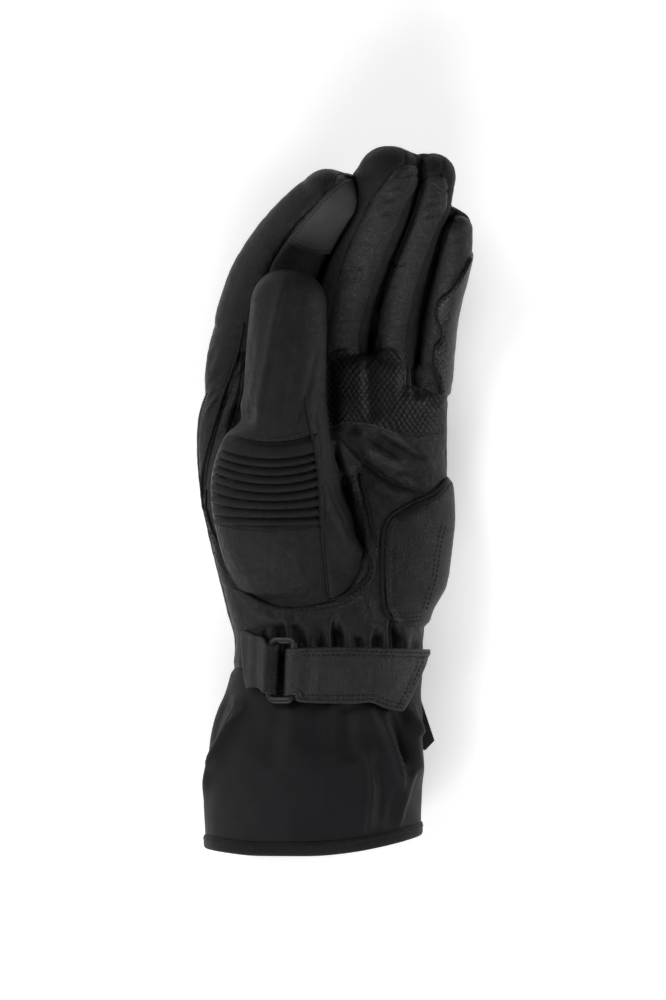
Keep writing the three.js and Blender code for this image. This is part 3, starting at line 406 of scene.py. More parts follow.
def in_outline(x, y, outline):
    """Distance from each x, y to a closed outline, over 0 inside it."""
    ring = np.vstack([outline, outline[:1]])
    apart, _ = to_line(x, y, ring)
    inside = np.zeros(len(x), bool)
    for (ax, ay), (bx, by) in zip(ring[:-1], ring[1:]):
        if ay != by:
            crossed = (y > min(ay, by)) & (y <= max(ay, by))
            inside ^= crossed & (x < ax + (y - ay) * (bx - ax) / (by - ay))
    return np.where(inside, 1, -1) * np.abs(apart)


def folds(spot, lines):
    """The height of folds that are drawn as lines seen from above."""
    x, y = spot.x, spot.y
    total = np.zeros(len(x))
    for corners, left, right, height in lines:
        line = smooth_line(corners, 2.0)
        reach = 2.2 * max(left, right)
        near = np.flatnonzero(
            (x > line[:, 0].min() - reach) & (x < line[:, 0].max() + reach)
            & (y > line[:, 1].min() - reach) & (y < line[:, 1].max() + reach)
        )
        if len(near):
            apart, share = to_line(x[near], y[near], line)
            width = np.where(apart > 0, left, right)
            total[near] += height * bell(apart / width) * plateau(share, 0, 0.22, 0.78, 1)
    return total


def noise(points, seed=0):
    """Smooth noise from -1 to 1 with one feature per unit. Each corner of a cell has a value of its own,
    which is hashed from its numbers and the seed."""
    cell = np.floor(points).astype(np.int64)
    f = points - cell
    f = f * f * (3 - 2 * f)
    total = np.zeros(len(points))
    for corner in product((0, 1), repeat=points.shape[1]):
        key = np.full(len(points), seed * 7919 + 17, np.int64)
        weight = np.ones(len(points))
        for axis, step in enumerate(corner):
            key = (key * 31 + cell[:, axis] + step) * 668265263 + 374761393
            key ^= (key >> 13) & 0x7FFFFFFF
            weight *= f[:, axis] if step else 1 - f[:, axis]
        total += weight * (((key >> 7) & 0xFFFF) / 32767.5 - 1)
    return total


def creases(points, sharp, seed=0):
    """Thin valleys from -1 to 0 along the lines where noise changes its sign."""
    return -hill(noise(points, seed), sharp)


# Forms
class Form:
    """A hollow tube through a table of sections, with a rounded tip where it has one. A higher power makes
    its sections squarer, and in an upright form they all stand straight across Y."""

    def __init__(self, rows, power, tip=0.0, tip_power=None, upright=False):
        self.rows = np.array(rows, float)
        self.power = power
        self.tip = tip
        self.tip_power = tip_power or power
        self.upright = upright
        self.last = len(rows) - 1
        self.end = self.last + (1 if tip else 0)
        self.samples = np.linspace(0, self.last, 30 * self.last + 1)
        self.centres = self.centre(self.samples)
        self.pace = np.linalg.norm(np.gradient(self.centres, self.samples, axis=0), axis=1)

    def centre(self, t):
        return through(self.rows, t)[:, [1, 0, 2]]

    def sections(self, t, grow=0.0):
        """Centre, directions and half sizes of the sections at row positions t."""
        body = np.clip(t, 0, self.last)
        columns = through(self.rows, body)
        if self.upright:
            tangent = np.tile([0.0, 1.0, 0.0], (len(t), 1))
        else:
            ahead = self.centre(np.minimum(body + 0.02, self.last))
            tangent = unit(ahead - self.centre(np.maximum(body - 0.02, 0)))
        side = unit(np.cross(tangent, [0, 0, 1]))
        up = np.cross(side, tangent)
        roll = np.radians(columns[:, 5:6])
        side, up = side * np.cos(roll) - up * np.sin(roll), up * np.cos(roll) + side * np.sin(roll)
        turn = np.clip(t - self.last, 0, 1) * np.pi / 2
        advance = np.sin(turn) ** (2 / self.tip_power) * (self.tip + grow)
        scale = np.maximum(np.cos(turn), 1e-9) ** (2 / self.tip_power)
        return SimpleNamespace(
            centre=columns[:, [1, 0, 2]] + tangent * advance[:, None],
            tangent=tangent, side=side, up=up, turn=turn,
            wide=(columns[:, 3] + grow) * scale, high=(columns[:, 4] + grow) * scale,
            full_high=columns[:, 4],
        )

    def at(self, t, angle, grow=0.0):
        """Points at row positions and angles, with the way out and the height over the middle."""
        s = self.sections(t, grow)
        c, n = np.cos(angle), np.sin(angle)
        across = s.wide * np.sign(c) * np.abs(c) ** (2 / self.power)
        height = s.high * np.sign(n) * np.abs(n) ** (2 / self.power)
        out = s.side * (c / np.maximum(s.wide, 1e-3))[:, None]
        out = unit(out + s.up * (n / np.maximum(s.high, 1e-3))[:, None])
        out = unit(out * np.cos(s.turn)[:, None] + s.tangent * np.sin(s.turn)[:, None])
        points = s.centre + s.side * across[:, None] + s.up * height[:, None]
        return SimpleNamespace(
            points=points, out=out, t=t, angle=angle, height=height, full_high=s.full_high,
            x=points[:, 0], y=points[:, 1], z=points[:, 2],
        )

    def outside(self, points):
        """About how far points lie outside the form, and below 0 inside it."""
        if self.upright:
            t = np.interp(points[:, 1], self.centres[:, 1], self.samples)
        else:
            square = (self.centres**2).sum(1)
            k = (square - 2 * points @ self.centres.T).argmin(1)
            s = self.sections(self.samples[k])
            ahead = ((points - s.centre) * s.tangent).sum(1)
            t = np.clip(self.samples[k] + ahead / self.pace[k], 0, self.last)
        s = self.sections(t)
        offset = points - s.centre
        u = np.abs((offset * s.side).sum(1))
        v = np.abs((offset * s.up).sum(1))
        w = np.maximum((offset * s.tangent).sum(1), 0)
        p, q = self.power, self.tip_power
        ring = np.maximum(((u / s.wide) ** p + (v / s.high) ** p) ** (1 / p), 1e-3)
        du = (u / s.wide / ring) ** (p - 1) / s.wide
        dv = (v / s.high / ring) ** (p - 1) / s.high
        if not self.tip:
            return (ring - 1) / np.hypot(du, dv)
        radius = (ring**q + (w / self.tip) ** q) ** (1 / q)
        dr = (ring / radius) ** (q - 1)
        dw = (w / self.tip / radius) ** (q - 1) / self.tip
        return (radius - 1) / np.sqrt((du * dr) ** 2 + (dv * dr) ** 2 + dw**2)

    def rows_between(self, start, end, step):
        dense = np.linspace(start, end, 400)
        return even(dense, self.at(dense, np.full(400, np.pi / 2)).points, step)

    def angles_between(self, t, start, end, step):
        dense = np.radians(np.linspace(start, end, 400))
        return even(dense, self.at(np.full(400, float(t)), dense).points, step)


HAND_FORM = Form(HAND, 2.35, tip=14, tip_power=3.4, upright=True)
CUFF_FORM = Form(CUFF, 2.15, upright=True)
FINGERS = {
    "index": Form(INDEX, 2.15, tip=12.5),
    "middle": Form(MIDDLE, 2.15, tip=15),
    "ring": Form(RING, 2.15, tip=11.5),
    "little": Form(LITTLE, 2.15, tip=8.5),
}
THUMB_FORM = Form(THUMB, 2.15, tip=17)


# Reliefs: how far each surface stands out of its form
def gathers(spot):
    """Hollows that the wrist elastic draws in the leather, narrow at their upper ends."""
    x, y = spot.x, spot.y
    uneven = 1.2 * np.sin(0.27 * x + 0.8) + 0.9 * np.sin(0.71 * x + 2.1)
    deep = smoothstep(107.3 + 2.2 * uneven - y, 0, 11)
    leaning = x + 0.45 * uneven + 0.04 * (y - 96) * uneven
    wave = 0.5 + 0.5 * np.cos(2 * np.pi * (leaning - GATHER_X) / GATHER_PITCH)
    hollow = wave ** (5.0 - 3.6 * deep)
    return plateau(x, -42, -34, 38, 43) * (0.5 * deep - (GATHER_DEPTH + 0.6 * uneven) * deep * hollow)


def palm_height(spot):
    """Dents, folds and gathers of the palm leather."""
    total = 1.15 * folds(spot, PALM_FOLDS) + gathers(spot)
    for cx, cy, length, width, turn, height in PALM_DENTS:
        x, y, turn = spot.x - cx, spot.y - cy, np.radians(turn)
        along = (x * np.cos(turn) + y * np.sin(turn)) / length
        across = (y * np.cos(turn) - x * np.sin(turn)) / width
        total += height * bell(1.2 * np.hypot(along, across))
    return total


def seam(edge, depth=0.9, width=0.8, puff=0.35):
    """How a panel turns in at its edge and swells beside it."""
    return puff * (1 - hill(edge, 3.5)) - depth * hill(edge, width)


def leather(points, amount=1.0, seed=0):
    """Small uneven wrinkles of soft leather."""
    swell = 0.28 * noise(points / 9, seed) + 0.14 * noise(points / 4, seed + 1)
    lines = 0.16 * creases(points / 5.5, 0.16, seed + 2) + 0.1 * creases(points / 3, 0.2, seed + 3)
    return amount * (swell + lines)


def sunk(spot):
    """How far the hand's wall lies under the root of the index finger, so that one runs on in the other."""
    return 2.2 * smoothstep(spot.y, 196, 216) * smoothstep(-spot.x, 18, 34)


def crumples(spot):
    """Short uneven creases along the palm's slanting folds."""
    x, y = spot.x, spot.y
    places = np.column_stack([(x - y) / 8, (x + y) / 3.4])
    region = bell((x - 22) / 20) * bell((y - 173) / 17)
    return region * (0.6 * creases(places / 1.4, 0.28, 31) + 0.4 * noise(places, 33))


def palm_share(spot):
    """1 on the palm's side of the hand and 0 on its back."""
    return smoothstep(spot.height / spot.full_high, 0.05, 0.3)


def hand_relief(spot, edge):
    palm = palm_share(spot)
    beside = THUMB_FORM.outside(spot.points)
    total = palm * (palm_height(spot) + crumples(spot)) + seam(edge)
    total += leather(spot.points, 0.8)
    total -= 1.1 * palm * hill(beside, 1.1)
    total += palm * folds(spot, EDGE_SEAMS + EDGE_WRINKLES)
    total += 0.5 * palm * plateau(beside, 1.0, 1.8, 5.0, 5.8)
    total -= sunk(spot)
    return total - 0.7 * hill(spot.y - WRIST_Y, 1.4)


def finger_relief(name, seed):
    form = FINGERS[name]

    def relief(spot, edge):
        along = np.interp(spot.t, form.samples, np.cumsum(form.pace) * form.samples[1])
        across = np.stack([spot.angle * 0.7, along / 2.2], 1)
        joints = 0.35 + 0.65 * np.maximum(bell((spot.t - 2.6) / 0.7), bell((spot.t - 4.3) / 0.6))
        front = smoothstep(np.sin(spot.angle), 0.1, 0.6)
        across += 0.5 * noise(spot.points / 4, seed + 9)[:, None]
        wrinkles = front * joints * (0.15 * creases(across, 0.25, seed) + 0.08 * noise(across * 1.7, seed))
        total = seam(edge, 0.8) + wrinkles + leather(spot.points, 0.7, seed + 5)
        total += smoothstep(np.sin(spot.angle), -0.3, 0.2) * folds(spot, TIP_FOLDS)
        upper = smoothstep(np.sin(spot.angle), -0.35, 0.1)
        for other in FINGERS.values():
            if other is not form:
                apart = other.outside(spot.points)
                total -= 1.4 * upper * (1 - smoothstep(apart, 0, 3.5))
                total += 2.2 * (1 - upper) * (1 - smoothstep(apart, 0.5, 7))
        if name == "index":
            total += folds(spot, EDGE_SEAMS + EDGE_WRINKLES)
            total += 0.9 * (1 - smoothstep(spot.y, 222, 250)) * smoothstep(-spot.x, 30, 44)
        return total

    return relief


def thumb_relief(spot, edge):
    heel = 1 - smoothstep(spot.y, 138, 152)
    side = np.cos(spot.angle)
    palm_side = plateau(spot.y, 134, 148, 158, 186) * smoothstep(side, 0.5, 0.95)
    edge_side = bell((spot.y - 196) / 6.5) * smoothstep(-side, 0.5, 0.92)
    total = seam(edge, 0.6, 0.9, 0.2) + leather(spot.points, 0.5, 40)
    total += heel * leather(spot.points * 1.3, 0.8, 44)
    total -= THUMB_TUCK * palm_side + THUMB_TUCK * edge_side
    return total + folds(spot, THUMB_FOLDS)


def rib_level(spot):
    """Y with the ribs' sag taken out, so that each groove is a level line."""
    sag = RIB_SAG * smoothstep(spot.y, RIB_LOW_Y - 4, RIB_TOP_Y - 6)
    return spot.y - sag * ((spot.x - RIB_X) / 25) ** 2


def rib_relief(spot, edge):
    """Padded ribs with narrow grooves between them. The top one is wider."""
    top_rib = 1.75
    pitch = (RIB_TOP_Y - RIB_LOW_Y) / RIB_COUNT
    over = (rib_level(spot) - RIB_LOW_Y) / pitch
    share = np.where(over > RIB_COUNT, (over - RIB_COUNT) / top_rib, over % 1)
    share = np.where(over < 0, 0.04, np.clip(share, 0, 1))
    wide = np.where(over > RIB_COUNT, top_rib, 1.0) * pitch
    apart = np.minimum(share, 1 - share) * wide
    rib = 0.72 * (1 - hill(apart, 0.62)) + 0.28 * np.sin(np.pi * share)
    past_piping, _ = to_line(spot.x, spot.y, smooth_line(STRIP_SEAM, 2.0))
    rib += (0.75 - rib) * smoothstep(past_piping, -0.9, 0.3)
    return RIB_HEIGHT * rib - 0.8 + seam(edge, 0.7, 0.8, 0.1) + leather(spot.points, 0.15, 60)


def cuff_relief(spot, edge):
    degrees = np.degrees(spot.angle)
    share = np.clip((WRIST_Y - spot.y) / (WRIST_Y - HEM_Y), 0, 1)
    total = np.zeros(len(share))
    for top, hem, spread, height, start, end in CUFF_FOLDS:
        middle = top + (hem - top) * share
        apart = np.abs((degrees - middle + 540) % 360 - 180) / spread
        total += 0.8 * height * bell(apart) * plateau(spot.y, start, start + 14, end - 8, end + 4)
    top_side = smoothstep(np.sin(spot.angle), -0.05, 0.3)
    total += top_side * folds(spot, CUFF_STROKES)
    total += 0.5 * noise(spot.points / [16, 26, 16], 70) + 0.16 * noise(spot.points / [5, 9, 5], 71)
    total = np.minimum(total, 4 - 3.2 * smoothstep(spot.y, 58, 68))
    return total - 0.9 * hill(spot.y - WRIST_Y, 1.3)


def hem_lift(x, y):
    """The hem isn't level: it rises towards the little finger's side, and a little at the other."""
    right = np.maximum(x + 12, 0) / 52
    left = np.maximum(-x - 34, 0) / 24
    return (1 - smoothstep(y, 10, 60)) * (8.5 * right**1.8 + 2.6 * left**1.5)


def on_floor(points, low=0.0, soft=0.8):
    """Presses what would lie under the floor flat on it, with a round edge."""
    over = points[:, 2] - low
    points[:, 2] = low + (over + np.sqrt(over**2 + soft**2 * (over < 6))) / 2
    return points


# Meshes
def grid(rows, columns, closed=False, apex=None):
    """Row and column values of a grid's points, and its triangles. An apex row value closes its end."""
    count = len(columns)
    values = np.stack(np.meshgrid(rows, columns, indexing="ij"), -1).reshape(-1, 2)
    across = count if closed else count - 1
    i, j = np.meshgrid(np.arange(len(rows) - 1), np.arange(across), indexing="ij")
    a = (i * count + j).ravel()
    b = (i * count + (j + 1) % count).ravel()
    triangles = [np.stack([a, a + count, b], 1), np.stack([b, a + count, b + count], 1)]
    if apex is not None:
        ring = (len(rows) - 1) * count + np.arange(across)
        following = (len(rows) - 1) * count + (np.arange(across) + 1) % count
        triangles.append(np.stack([ring, np.full(across, len(values)), following], 1))
        values = np.vstack([values, [apex, np.pi / 2]])
    return values, np.concatenate(triangles)


def clip(values, triangles, distance, round_angles):
    """Cuts triangles along the line where distance is 0, and keeps the side where it is above 0."""
    inside = distance > 0
    count = inside[triangles].sum(1)

    def turned(rows, which):
        first = np.argmax(inside[rows] == which, axis=1)
        return np.take_along_axis(rows, (first[:, None] + np.arange(3)) % 3, axis=1)

    ones = turned(triangles[count == 1], True)
    twos = turned(triangles[count == 2], False)
    crossed = np.concatenate([ones[:, [0, 1]], ones[:, [0, 2]], twos[:, [0, 1]], twos[:, [0, 2]]])
    crossed.sort(axis=1)
    kept = [triangles[count == 3]]
    if len(crossed):
        edges, index = np.unique(crossed, axis=0, return_inverse=True)
        index = index.ravel() + len(values)
        a, b = edges.T
        share = distance[a] / (distance[a] - distance[b])
        step = values[b] - values[a]
        if round_angles:
            step[:, 1] = (step[:, 1] + np.pi) % (2 * np.pi) - np.pi
        values = np.vstack([values, values[a] + share[:, None] * step])
        cut = np.split(index, np.cumsum([len(ones), len(ones), len(twos)]))
        kept += [
            np.stack([ones[:, 0], cut[0], cut[1]], 1),
            np.stack([twos[:, 1], twos[:, 2], cut[3]], 1),
            np.stack([twos[:, 1], cut[3], cut[2]], 1),
        ]
    triangles = np.concatenate(kept)
    used, triangles = np.unique(triangles, return_inverse=True)
    return values[used], triangles.reshape(-1, 3)


def walled(outer, inner, triangles):
    """A closed wall between two surfaces that share their triangles."""
    count = len(outer)
    edges = np.concatenate([triangles[:, [0, 1]], triangles[:, [1, 2]], triangles[:, [2, 0]]])
    one_way = edges[:, 0] * count + edges[:, 1]
    other_way = edges[:, 1] * count + edges[:, 0]
    a, b = edges[~np.isin(other_way, one_way)].T
    rim = np.concatenate([np.stack([b, a, a + count], 1), np.stack([b, a + count, b + count], 1)])
    return np.vstack([outer, inner]), np.concatenate([triangles, triangles[:, ::-1] + count, rim])


def linked(name, data):
    """A new object in the scene."""
    made = bpy.data.objects.new(name, data)
    bpy.context.scene.collection.objects.link(made)
    return made


surfaces = {}  # outer surface of each piece, for what is laid on it


def make(name, points, triangles, finish, slot, node=None, flow=None):
    """A Blender object from points in mm and triangles, that rides on the glove's body.
    The flow says how weave and print lie, and the faces of a wall share it."""
    mesh = bpy.data.meshes.new(name)
    mesh.from_pydata(((points - SHIFT) / 1000).tolist(), [], triangles.tolist())
    mesh.shade_smooth()
    mesh.set_sharp_from_angle(angle=np.radians(62))
    if flow is not None:
        flow = np.tile(flow, (len(points) // len(flow), 1))
        layer = mesh.uv_layers.new(name="flow")
        layer.uv.foreach_set("vector", flow[triangles.ravel()].astype(np.float32).ravel())
    mesh.materials.append(finish)
    piece = linked(name, mesh)
    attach(piece, "root")
    if node:
        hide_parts(node)
    return piece


def panel(
    name, form, inside, relief, finish, slot, node=None,
    between=None, angles=(0, 360), step=FINE, thick=LEATHER, shape=None, clear=None,
):
    """A sewn panel: the part of a form where inside(spot) is above 0, as a closed wall.
    Where clear(spot) is below 0, it is cut away too, but isn't sewn there."""
    start, end = between or (0, form.end)
    tipped = end > form.last
    rows = form.rows_between(start, end - 0.004 if tipped else end, step)
    whole = angles[1] - angles[0] == 360
    columns = form.angles_between((start + min(end, form.last)) / 2, *angles, step)
    if whole:
        columns = columns[:-1]
    values, triangles = grid(rows, columns, closed=whole, apex=end if tipped and whole else None)
    spot = form.at(*values.T)
    distance = np.minimum(inside(spot), clear(spot)) if clear else inside(spot)
    values, triangles = clip(values, triangles, distance, True)
    spot = form.at(*values.T)
    edge = np.maximum(inside(spot), 0)
    outer = spot.points + spot.out * relief(spot, edge)[:, None]
    if shape:
        outer = shape(outer)
    wall = thick(spot, edge) if callable(thick) else np.full(len(outer), thick)
    inner = outer - spot.out * wall[:, None]
    surfaces[name] = (outer, triangles)
    flow = np.stack([spot.angle * form.rows[:, 3].mean(), spot.y], 1)
    return make(name, *walled(outer, inner, triangles), finish, slot, node, flow)


def tree_of(*names):
    """The outer surfaces of pieces, to find the one under a place seen from above."""
    points, triangles, count = [], [], 0
    for name in names:
        outer, faces = surfaces[name]
        points += outer.tolist()
        triangles += (faces + count).tolist()
        count += len(outer)
    return BVHTree.FromPolygons(points, triangles)


def fall(tree, x, y):
    """What a fall from above x, y meets: its place and the way out there, or None."""
    return tree.ray_cast((x, y, ABOVE_ALL), (0, 0, -1))


def under(tree, xy):
    """Where a fall from above each x, y meets the tree, and the way out there. Misses are dropped."""
    found = [fall(tree, x, y) for x, y in xy]
    hits = [(tuple(place), tuple(way)) for place, way, *_ in found if place is not None]
    if not hits:
        return np.zeros((0, 3)), np.zeros((0, 3))
    places, ways = (np.array(part) for part in zip(*hits))
    return places, ways


def stitches(name, runs, pitch=2.3, length=1.7, width=0.5, height=0.34):
    """Thread stitches along runs of (points, ways out), each a small rounded bar half sunk in."""
    sides = 6
    turn = np.arange(sides) * 2 * np.pi / sides
    rings = [(-0.86, 0.62), (-0.45, 1.0), (0.45, 1.0), (0.86, 0.62)]
    bar = [[a, r * np.cos(t), r * np.sin(t)] for a, r in rings for t in turn]
    bar = np.array([[-1, 0, 0], *bar, [1, 0, 0]]) * [length / 2, width / 2, height]
    last = len(bar) - 1
    faces = []
    for k in range(sides):
        n = (k + 1) % sides
        faces.append([0, 1 + n, 1 + k])
        faces.append([last, last - sides + k, last - sides + n])
        for first in range(1, last - sides, sides):
            a, b = first + k, first + n
            faces += [[a, b, a + sides], [b, b + sides, a + sides]]
    faces = np.array(faces)
    points, triangles = [], []
    for places, ways in runs:
        if len(places) < 3:
            continue
        reach = lengths(places)
        for s in np.arange(pitch / 2, reach[-1] - length / 2, pitch):
            here = np.array([np.interp(s, reach, places[:, k]) for k in range(3)])
            ahead = np.array([np.interp(s + 0.6, reach, places[:, k]) for k in range(3)])
            out = unit(np.array([np.interp(s, reach, ways[:, k]) for k in range(3)]))
            way = unit(ahead - here)
            side = unit(np.cross(out, way))
            triangles.append(faces + len(bar) * len(points))
            placed = here + bar @ np.array([way, side, np.cross(way, side)])
            points.append(placed + [0, 0, max(-placed[:, 2].min(), 0)])
    make(name, np.concatenate(points), np.concatenate(triangles), thread_finish, "binding")


def tube(rings, closed=False):
    """Points and triangles of a tube through rings of points, closed round or capped at its ends."""
    n, m = rings.shape[:2]
    i, j = np.meshgrid(np.arange(n if closed else n - 1), np.arange(m), indexing="ij")
    i, j = i.ravel(), j.ravel()
    a, b = i * m + j, i * m + (j + 1) % m
    c, d = (i + 1) % n * m + j, (i + 1) % n * m + (j + 1) % m
    triangles = [np.stack([a, c, b], 1), np.stack([b, c, d], 1)]
    if not closed:
        k = np.arange(1, m - 1)
        triangles.append(np.stack([0 * k, k, k + 1], 1))
        triangles.append(np.stack([0 * k, k + 1, k], 1) + (n - 1) * m)
    return rings.reshape(-1, 3), np.concatenate(triangles)


def piping(name, places, ways, radius, sink):
    """A round piping that lies along a line on the surface, a little sunk in."""
    way = unit(np.gradient(places, axis=0))
    side = unit(np.cross(way, ways))
    lift = unit(np.cross(side, way))
    turn = np.arange(10) * np.pi / 5
    from_end = np.minimum(np.arange(len(places)), np.arange(len(places))[::-1])
    thick = radius * np.minimum(1, 0.25 + from_end / 3)[:, None, None]
    spread = side[:, None] * np.cos(turn)[:, None] + lift[:, None] * np.sin(turn)[:, None]
    middle = places + lift * (radius - sink)
    make(name, *tube(middle[:, None] + thick * spread), side_and_shade_finish, "leather")


# Finishes
def add(tree, kind, sockets, **settings):
    """A shader node, with its sockets set to values or linked to other nodes' outputs."""
    made = tree.nodes.new("ShaderNode" + kind)
    for key, value in settings.items():
        setattr(made, key, value)
    for key, value in sockets.items():
        if isinstance(value, bpy.types.NodeSocket):
            tree.links.new(value, made.inputs[key])
        else:
            made.inputs[key].default_value = value
    return made


def calculate(tree, operation, *values):
    return add(tree, "Math", dict(enumerate(values)), operation=operation).outputs[0]


def noise_node(tree, place, scale, detail, roughness=0.5):
    sockets = {"Vector": place, "Scale": scale, "Detail": detail, "Roughness": roughness}
    return add(tree, "TexNoise", sockets).outputs


def principled(name, **inputs):
    """A new material, with values on the sockets of its shader."""
    material = bpy.data.materials.new(name)
    material.use_nodes = True
    shader = material.node_tree.nodes["Principled BSDF"]
    for key, value in inputs.items():
        shader.inputs[key.replace("_", " ")].default_value = value
    return material, shader


def pebbles(tree, place, flow, size):
    """Leather grain: rounded cells with creases between them."""
    bend = noise_node(tree, place, 350 / size, 2.0)["Color"]
    moved = add(tree, "VectorMath", {0: bend, "Scale": 0.0004 * size}, operation="SCALE")
    at = add(tree, "VectorMath", {0: place, 1: moved.outputs[0]}).outputs[0]
    cells = add(tree, "TexVoronoi", {"Vector": at, "Scale": 1000 / size}, feature="DISTANCE_TO_EDGE")
    return add(tree, "MapRange", {"Value": cells.outputs["Distance"], "From Max": 0.28}).outputs["Result"]


def specks(tree, place, flow, size):
    """Fine uneven relief."""
    return noise_node(tree, place, 1000 / size, 4.0)["Fac"]


def wave(tree, value, period):
    return calculate(tree, "SINE", calculate(tree, "MULTIPLY", value, 2 * np.pi / period))


def twill(tree, place, flow, size):
    """Diagonal ribs of a woven fabric, crossed by its threads."""
    across, along, _ = add(tree, "SeparateXYZ", {0: flow}).outputs
    slant = calculate(tree, "ADD", across, along)
    threads = calculate(tree, "MULTIPLY", wave(tree, across, size / 2), 0.35)
    return calculate(tree, "ADD", wave(tree, slant, size), threads)


def weave(tree, place, flow, size):
    """A plain weave."""
    across, along, _ = add(tree, "SeparateXYZ", {0: flow}).outputs
    return calculate(tree, "MULTIPLY", wave(tree, across, size), wave(tree, along, size))


def printed_lines(tree, flow, pitch):
    """Two crossing sets of thin lines."""
    x, y, _ = add(tree, "SeparateXYZ", {0: flow}).outputs
    across = calculate(tree, "MULTIPLY", x, GRIP_SLANT[0])
    sets = []
    for way in (-GRIP_SLANT[1], GRIP_SLANT[1]):
        slant = calculate(tree, "MULTIPLY_ADD", y, way, across)
        sets.append(wave(tree, calculate(tree, "SUBTRACT", slant, pitch / 4), pitch))
    crest = calculate(tree, "MAXIMUM", *sets)
    return add(tree, "MapRange", {"Value": crest, "From Min": 0.8, "From Max": 0.99}).outputs[0]


def grey(level, blue):
    """A linear grey that is a little bluer than neutral."""
    return (level, level, level + blue)


def finish_of(name, dark, light, rough, reliefs, mottle=7.0, sheen=0.0, shine=0.3, lines=None):
    """A procedural finish: two close shades in patches of mottle mm, uneven roughness and layers of relief,
    each a texture with its size and depth in mm. Printed lines have a shade of their own."""
    material, shader = principled(name, Sheen_Weight=sheen, Sheen_Roughness=0.4, Specular_IOR_Level=shine)
    tree = material.node_tree
    place = add(tree, "TexCoord", {}).outputs["Object"]
    flow = add(tree, "UVMap", {}, uv_map="flow").outputs["UV"]
    patches = noise_node(tree, place, 1000 / mottle, 6.0, 0.6)["Fac"]
    share = add(tree, "MapRange", {"Value": patches, "From Min": 0.32, "From Max": 0.68}).outputs[0]
    shade = add(tree, "Mix", {0: share, 6: (*dark, 1), 7: (*light, 1)}, data_type="RGBA").outputs[2]
    if lines:
        share = printed_lines(tree, flow, GRIP_PITCH)
        shade = add(tree, "Mix", {0: share, 6: shade, 7: (*lines, 1)}, data_type="RGBA").outputs[2]
    tree.links.new(shade, shader.inputs["Base Color"])
    worn = noise_node(tree, place, 2600 / mottle, 3.0)["Fac"]
    limits = {"From Min": 0.3, "From Max": 0.7, "To Min": rough[0], "To Max": rough[1]}
    tree.links.new(add(tree, "MapRange", {"Value": worn, **limits}).outputs[0], shader.inputs["Roughness"])
    normal = None
    for texture, size, depth in reliefs:
        sockets = {"Height": texture(tree, place, flow, size), "Distance": depth / 1000, "Strength": 0.8}
        if normal:
            sockets["Normal"] = normal
        normal = add(tree, "Bump", sockets).outputs["Normal"]
    tree.links.new(normal, shader.inputs["Normal"])
    return material


def leather_of(name, dark, light, rough, shine):
    """A leather finish, with dents and fine specks beside its grain."""
    reliefs = [(specks, 2.2, 0.13), (pebbles, 0.9, 0.11), (specks, 0.35, 0.03)]
    return finish_of(name, dark, light, rough, reliefs, shine=shine)


def warm(level):
    """The slightly warmer light shade of a worn leather."""
    return (level + 0.0001, level, level)


palm_finish = leather_of("palm_leather", grey(0.0055, 0.0003), warm(0.0097), (0.37, 0.5), 0.22)
thumb_finish = leather_of("thumb_leather", grey(0.0064, 0.0003), warm(0.0107), (0.46, 0.6), 0.15)
guard_finish = leather_of("guard_leather", grey(0.0078, 0.0003), warm(0.0131), (0.27, 0.38), 0.34)
finger_finish = leather_of("finger_leather", grey(0.0078, 0.0003), warm(0.0131), (0.38, 0.52), 0.22)
strap_finish = leather_of("strap_leather", grey(0.0125, 0.0003), warm(0.0189), (0.36, 0.48), 0.26)
back_finish = leather_of("back_leather", grey(0.0036, 0.0002), grey(0.0068, 0.0002), (0.34, 0.48), 0.17)
# The side leather is darker than the fingers' fronts. Part of that is its own tone and part is painted shade
# for the deep gaps between the fingers.
side_and_shade_finish = leather_of("side_leather_and_painted_shade", grey(0.0056, 0.0002), grey(0.0098, 0.0002), (0.46, 0.6), 0.12)
stretch_finish = finish_of(
    "stretch_fabric", grey(0.0036, 0.0005), grey(0.0062, 0.0007), (0.62, 0.78),
    [(specks, 1.4, 0.05), (weave, 0.7, 0.03)], sheen=0.03, shine=0.2,
)
fabric_finish = finish_of(
    "shell_fabric", grey(0.0041, 0.0014), grey(0.0054, 0.0016), (0.54, 0.66),
    [(specks, 3.0, 0.05), (twill, 0.75, 0.03)], mottle=30.0, sheen=0.045, shine=0.19,
)
binding_finish = finish_of(
    "edge_tape", grey(0.0034, 0.0004), grey(0.0056, 0.0004), (0.55, 0.68),
    [(twill, 1.1, 0.08)], sheen=0.03, shine=0.18,
)
grip_finish = finish_of(
    "grip_print", grey(0.003, 0.0004), grey(0.0058, 0.0003), (0.36, 0.52),
    [(specks, 0.5, 0.06)], mottle=5.0, shine=0.17, lines=grey(0.0125, 0.0007),
)
touch_finish = finish_of(
    "touch_leather", grey(0.034, 0.0018), grey(0.041, 0.0018), (0.55, 0.65),
    [(specks, 1.6, 0.03), (pebbles, 0.6, 0.015)], shine=0.14,
)
plastic_finish = finish_of(
    "ring_plastic", grey(0.012, 0.0005), grey(0.016, 0.0005), (0.36, 0.46),
    [(specks, 0.3, 0.012)], mottle=8.0,
)
thread_finish = finish_of(
    "thread", grey(0.005, 0.0005), grey(0.009, 0.0005), (0.45, 0.6),
    [(specks, 0.25, 0.06)], mottle=3.0, shine=0.2,
)
ribbon_finish = finish_of(
    "ribbon", grey(0.009, 0.001), grey(0.014, 0.001), (0.5, 0.62), [(weave, 0.55, 0.05)], sheen=0.03,
)
lining_finish = finish_of(
    "lining", grey(0.012, 0.001), grey(0.022, 0.001), (0.85, 0.95),
    [(specks, 1.1, 0.25)], mottle=6.0, sheen=0.25,
)


# The hand
def over_side_seam(spot):
    return spot.height - SIDE_SEAM * spot.full_high


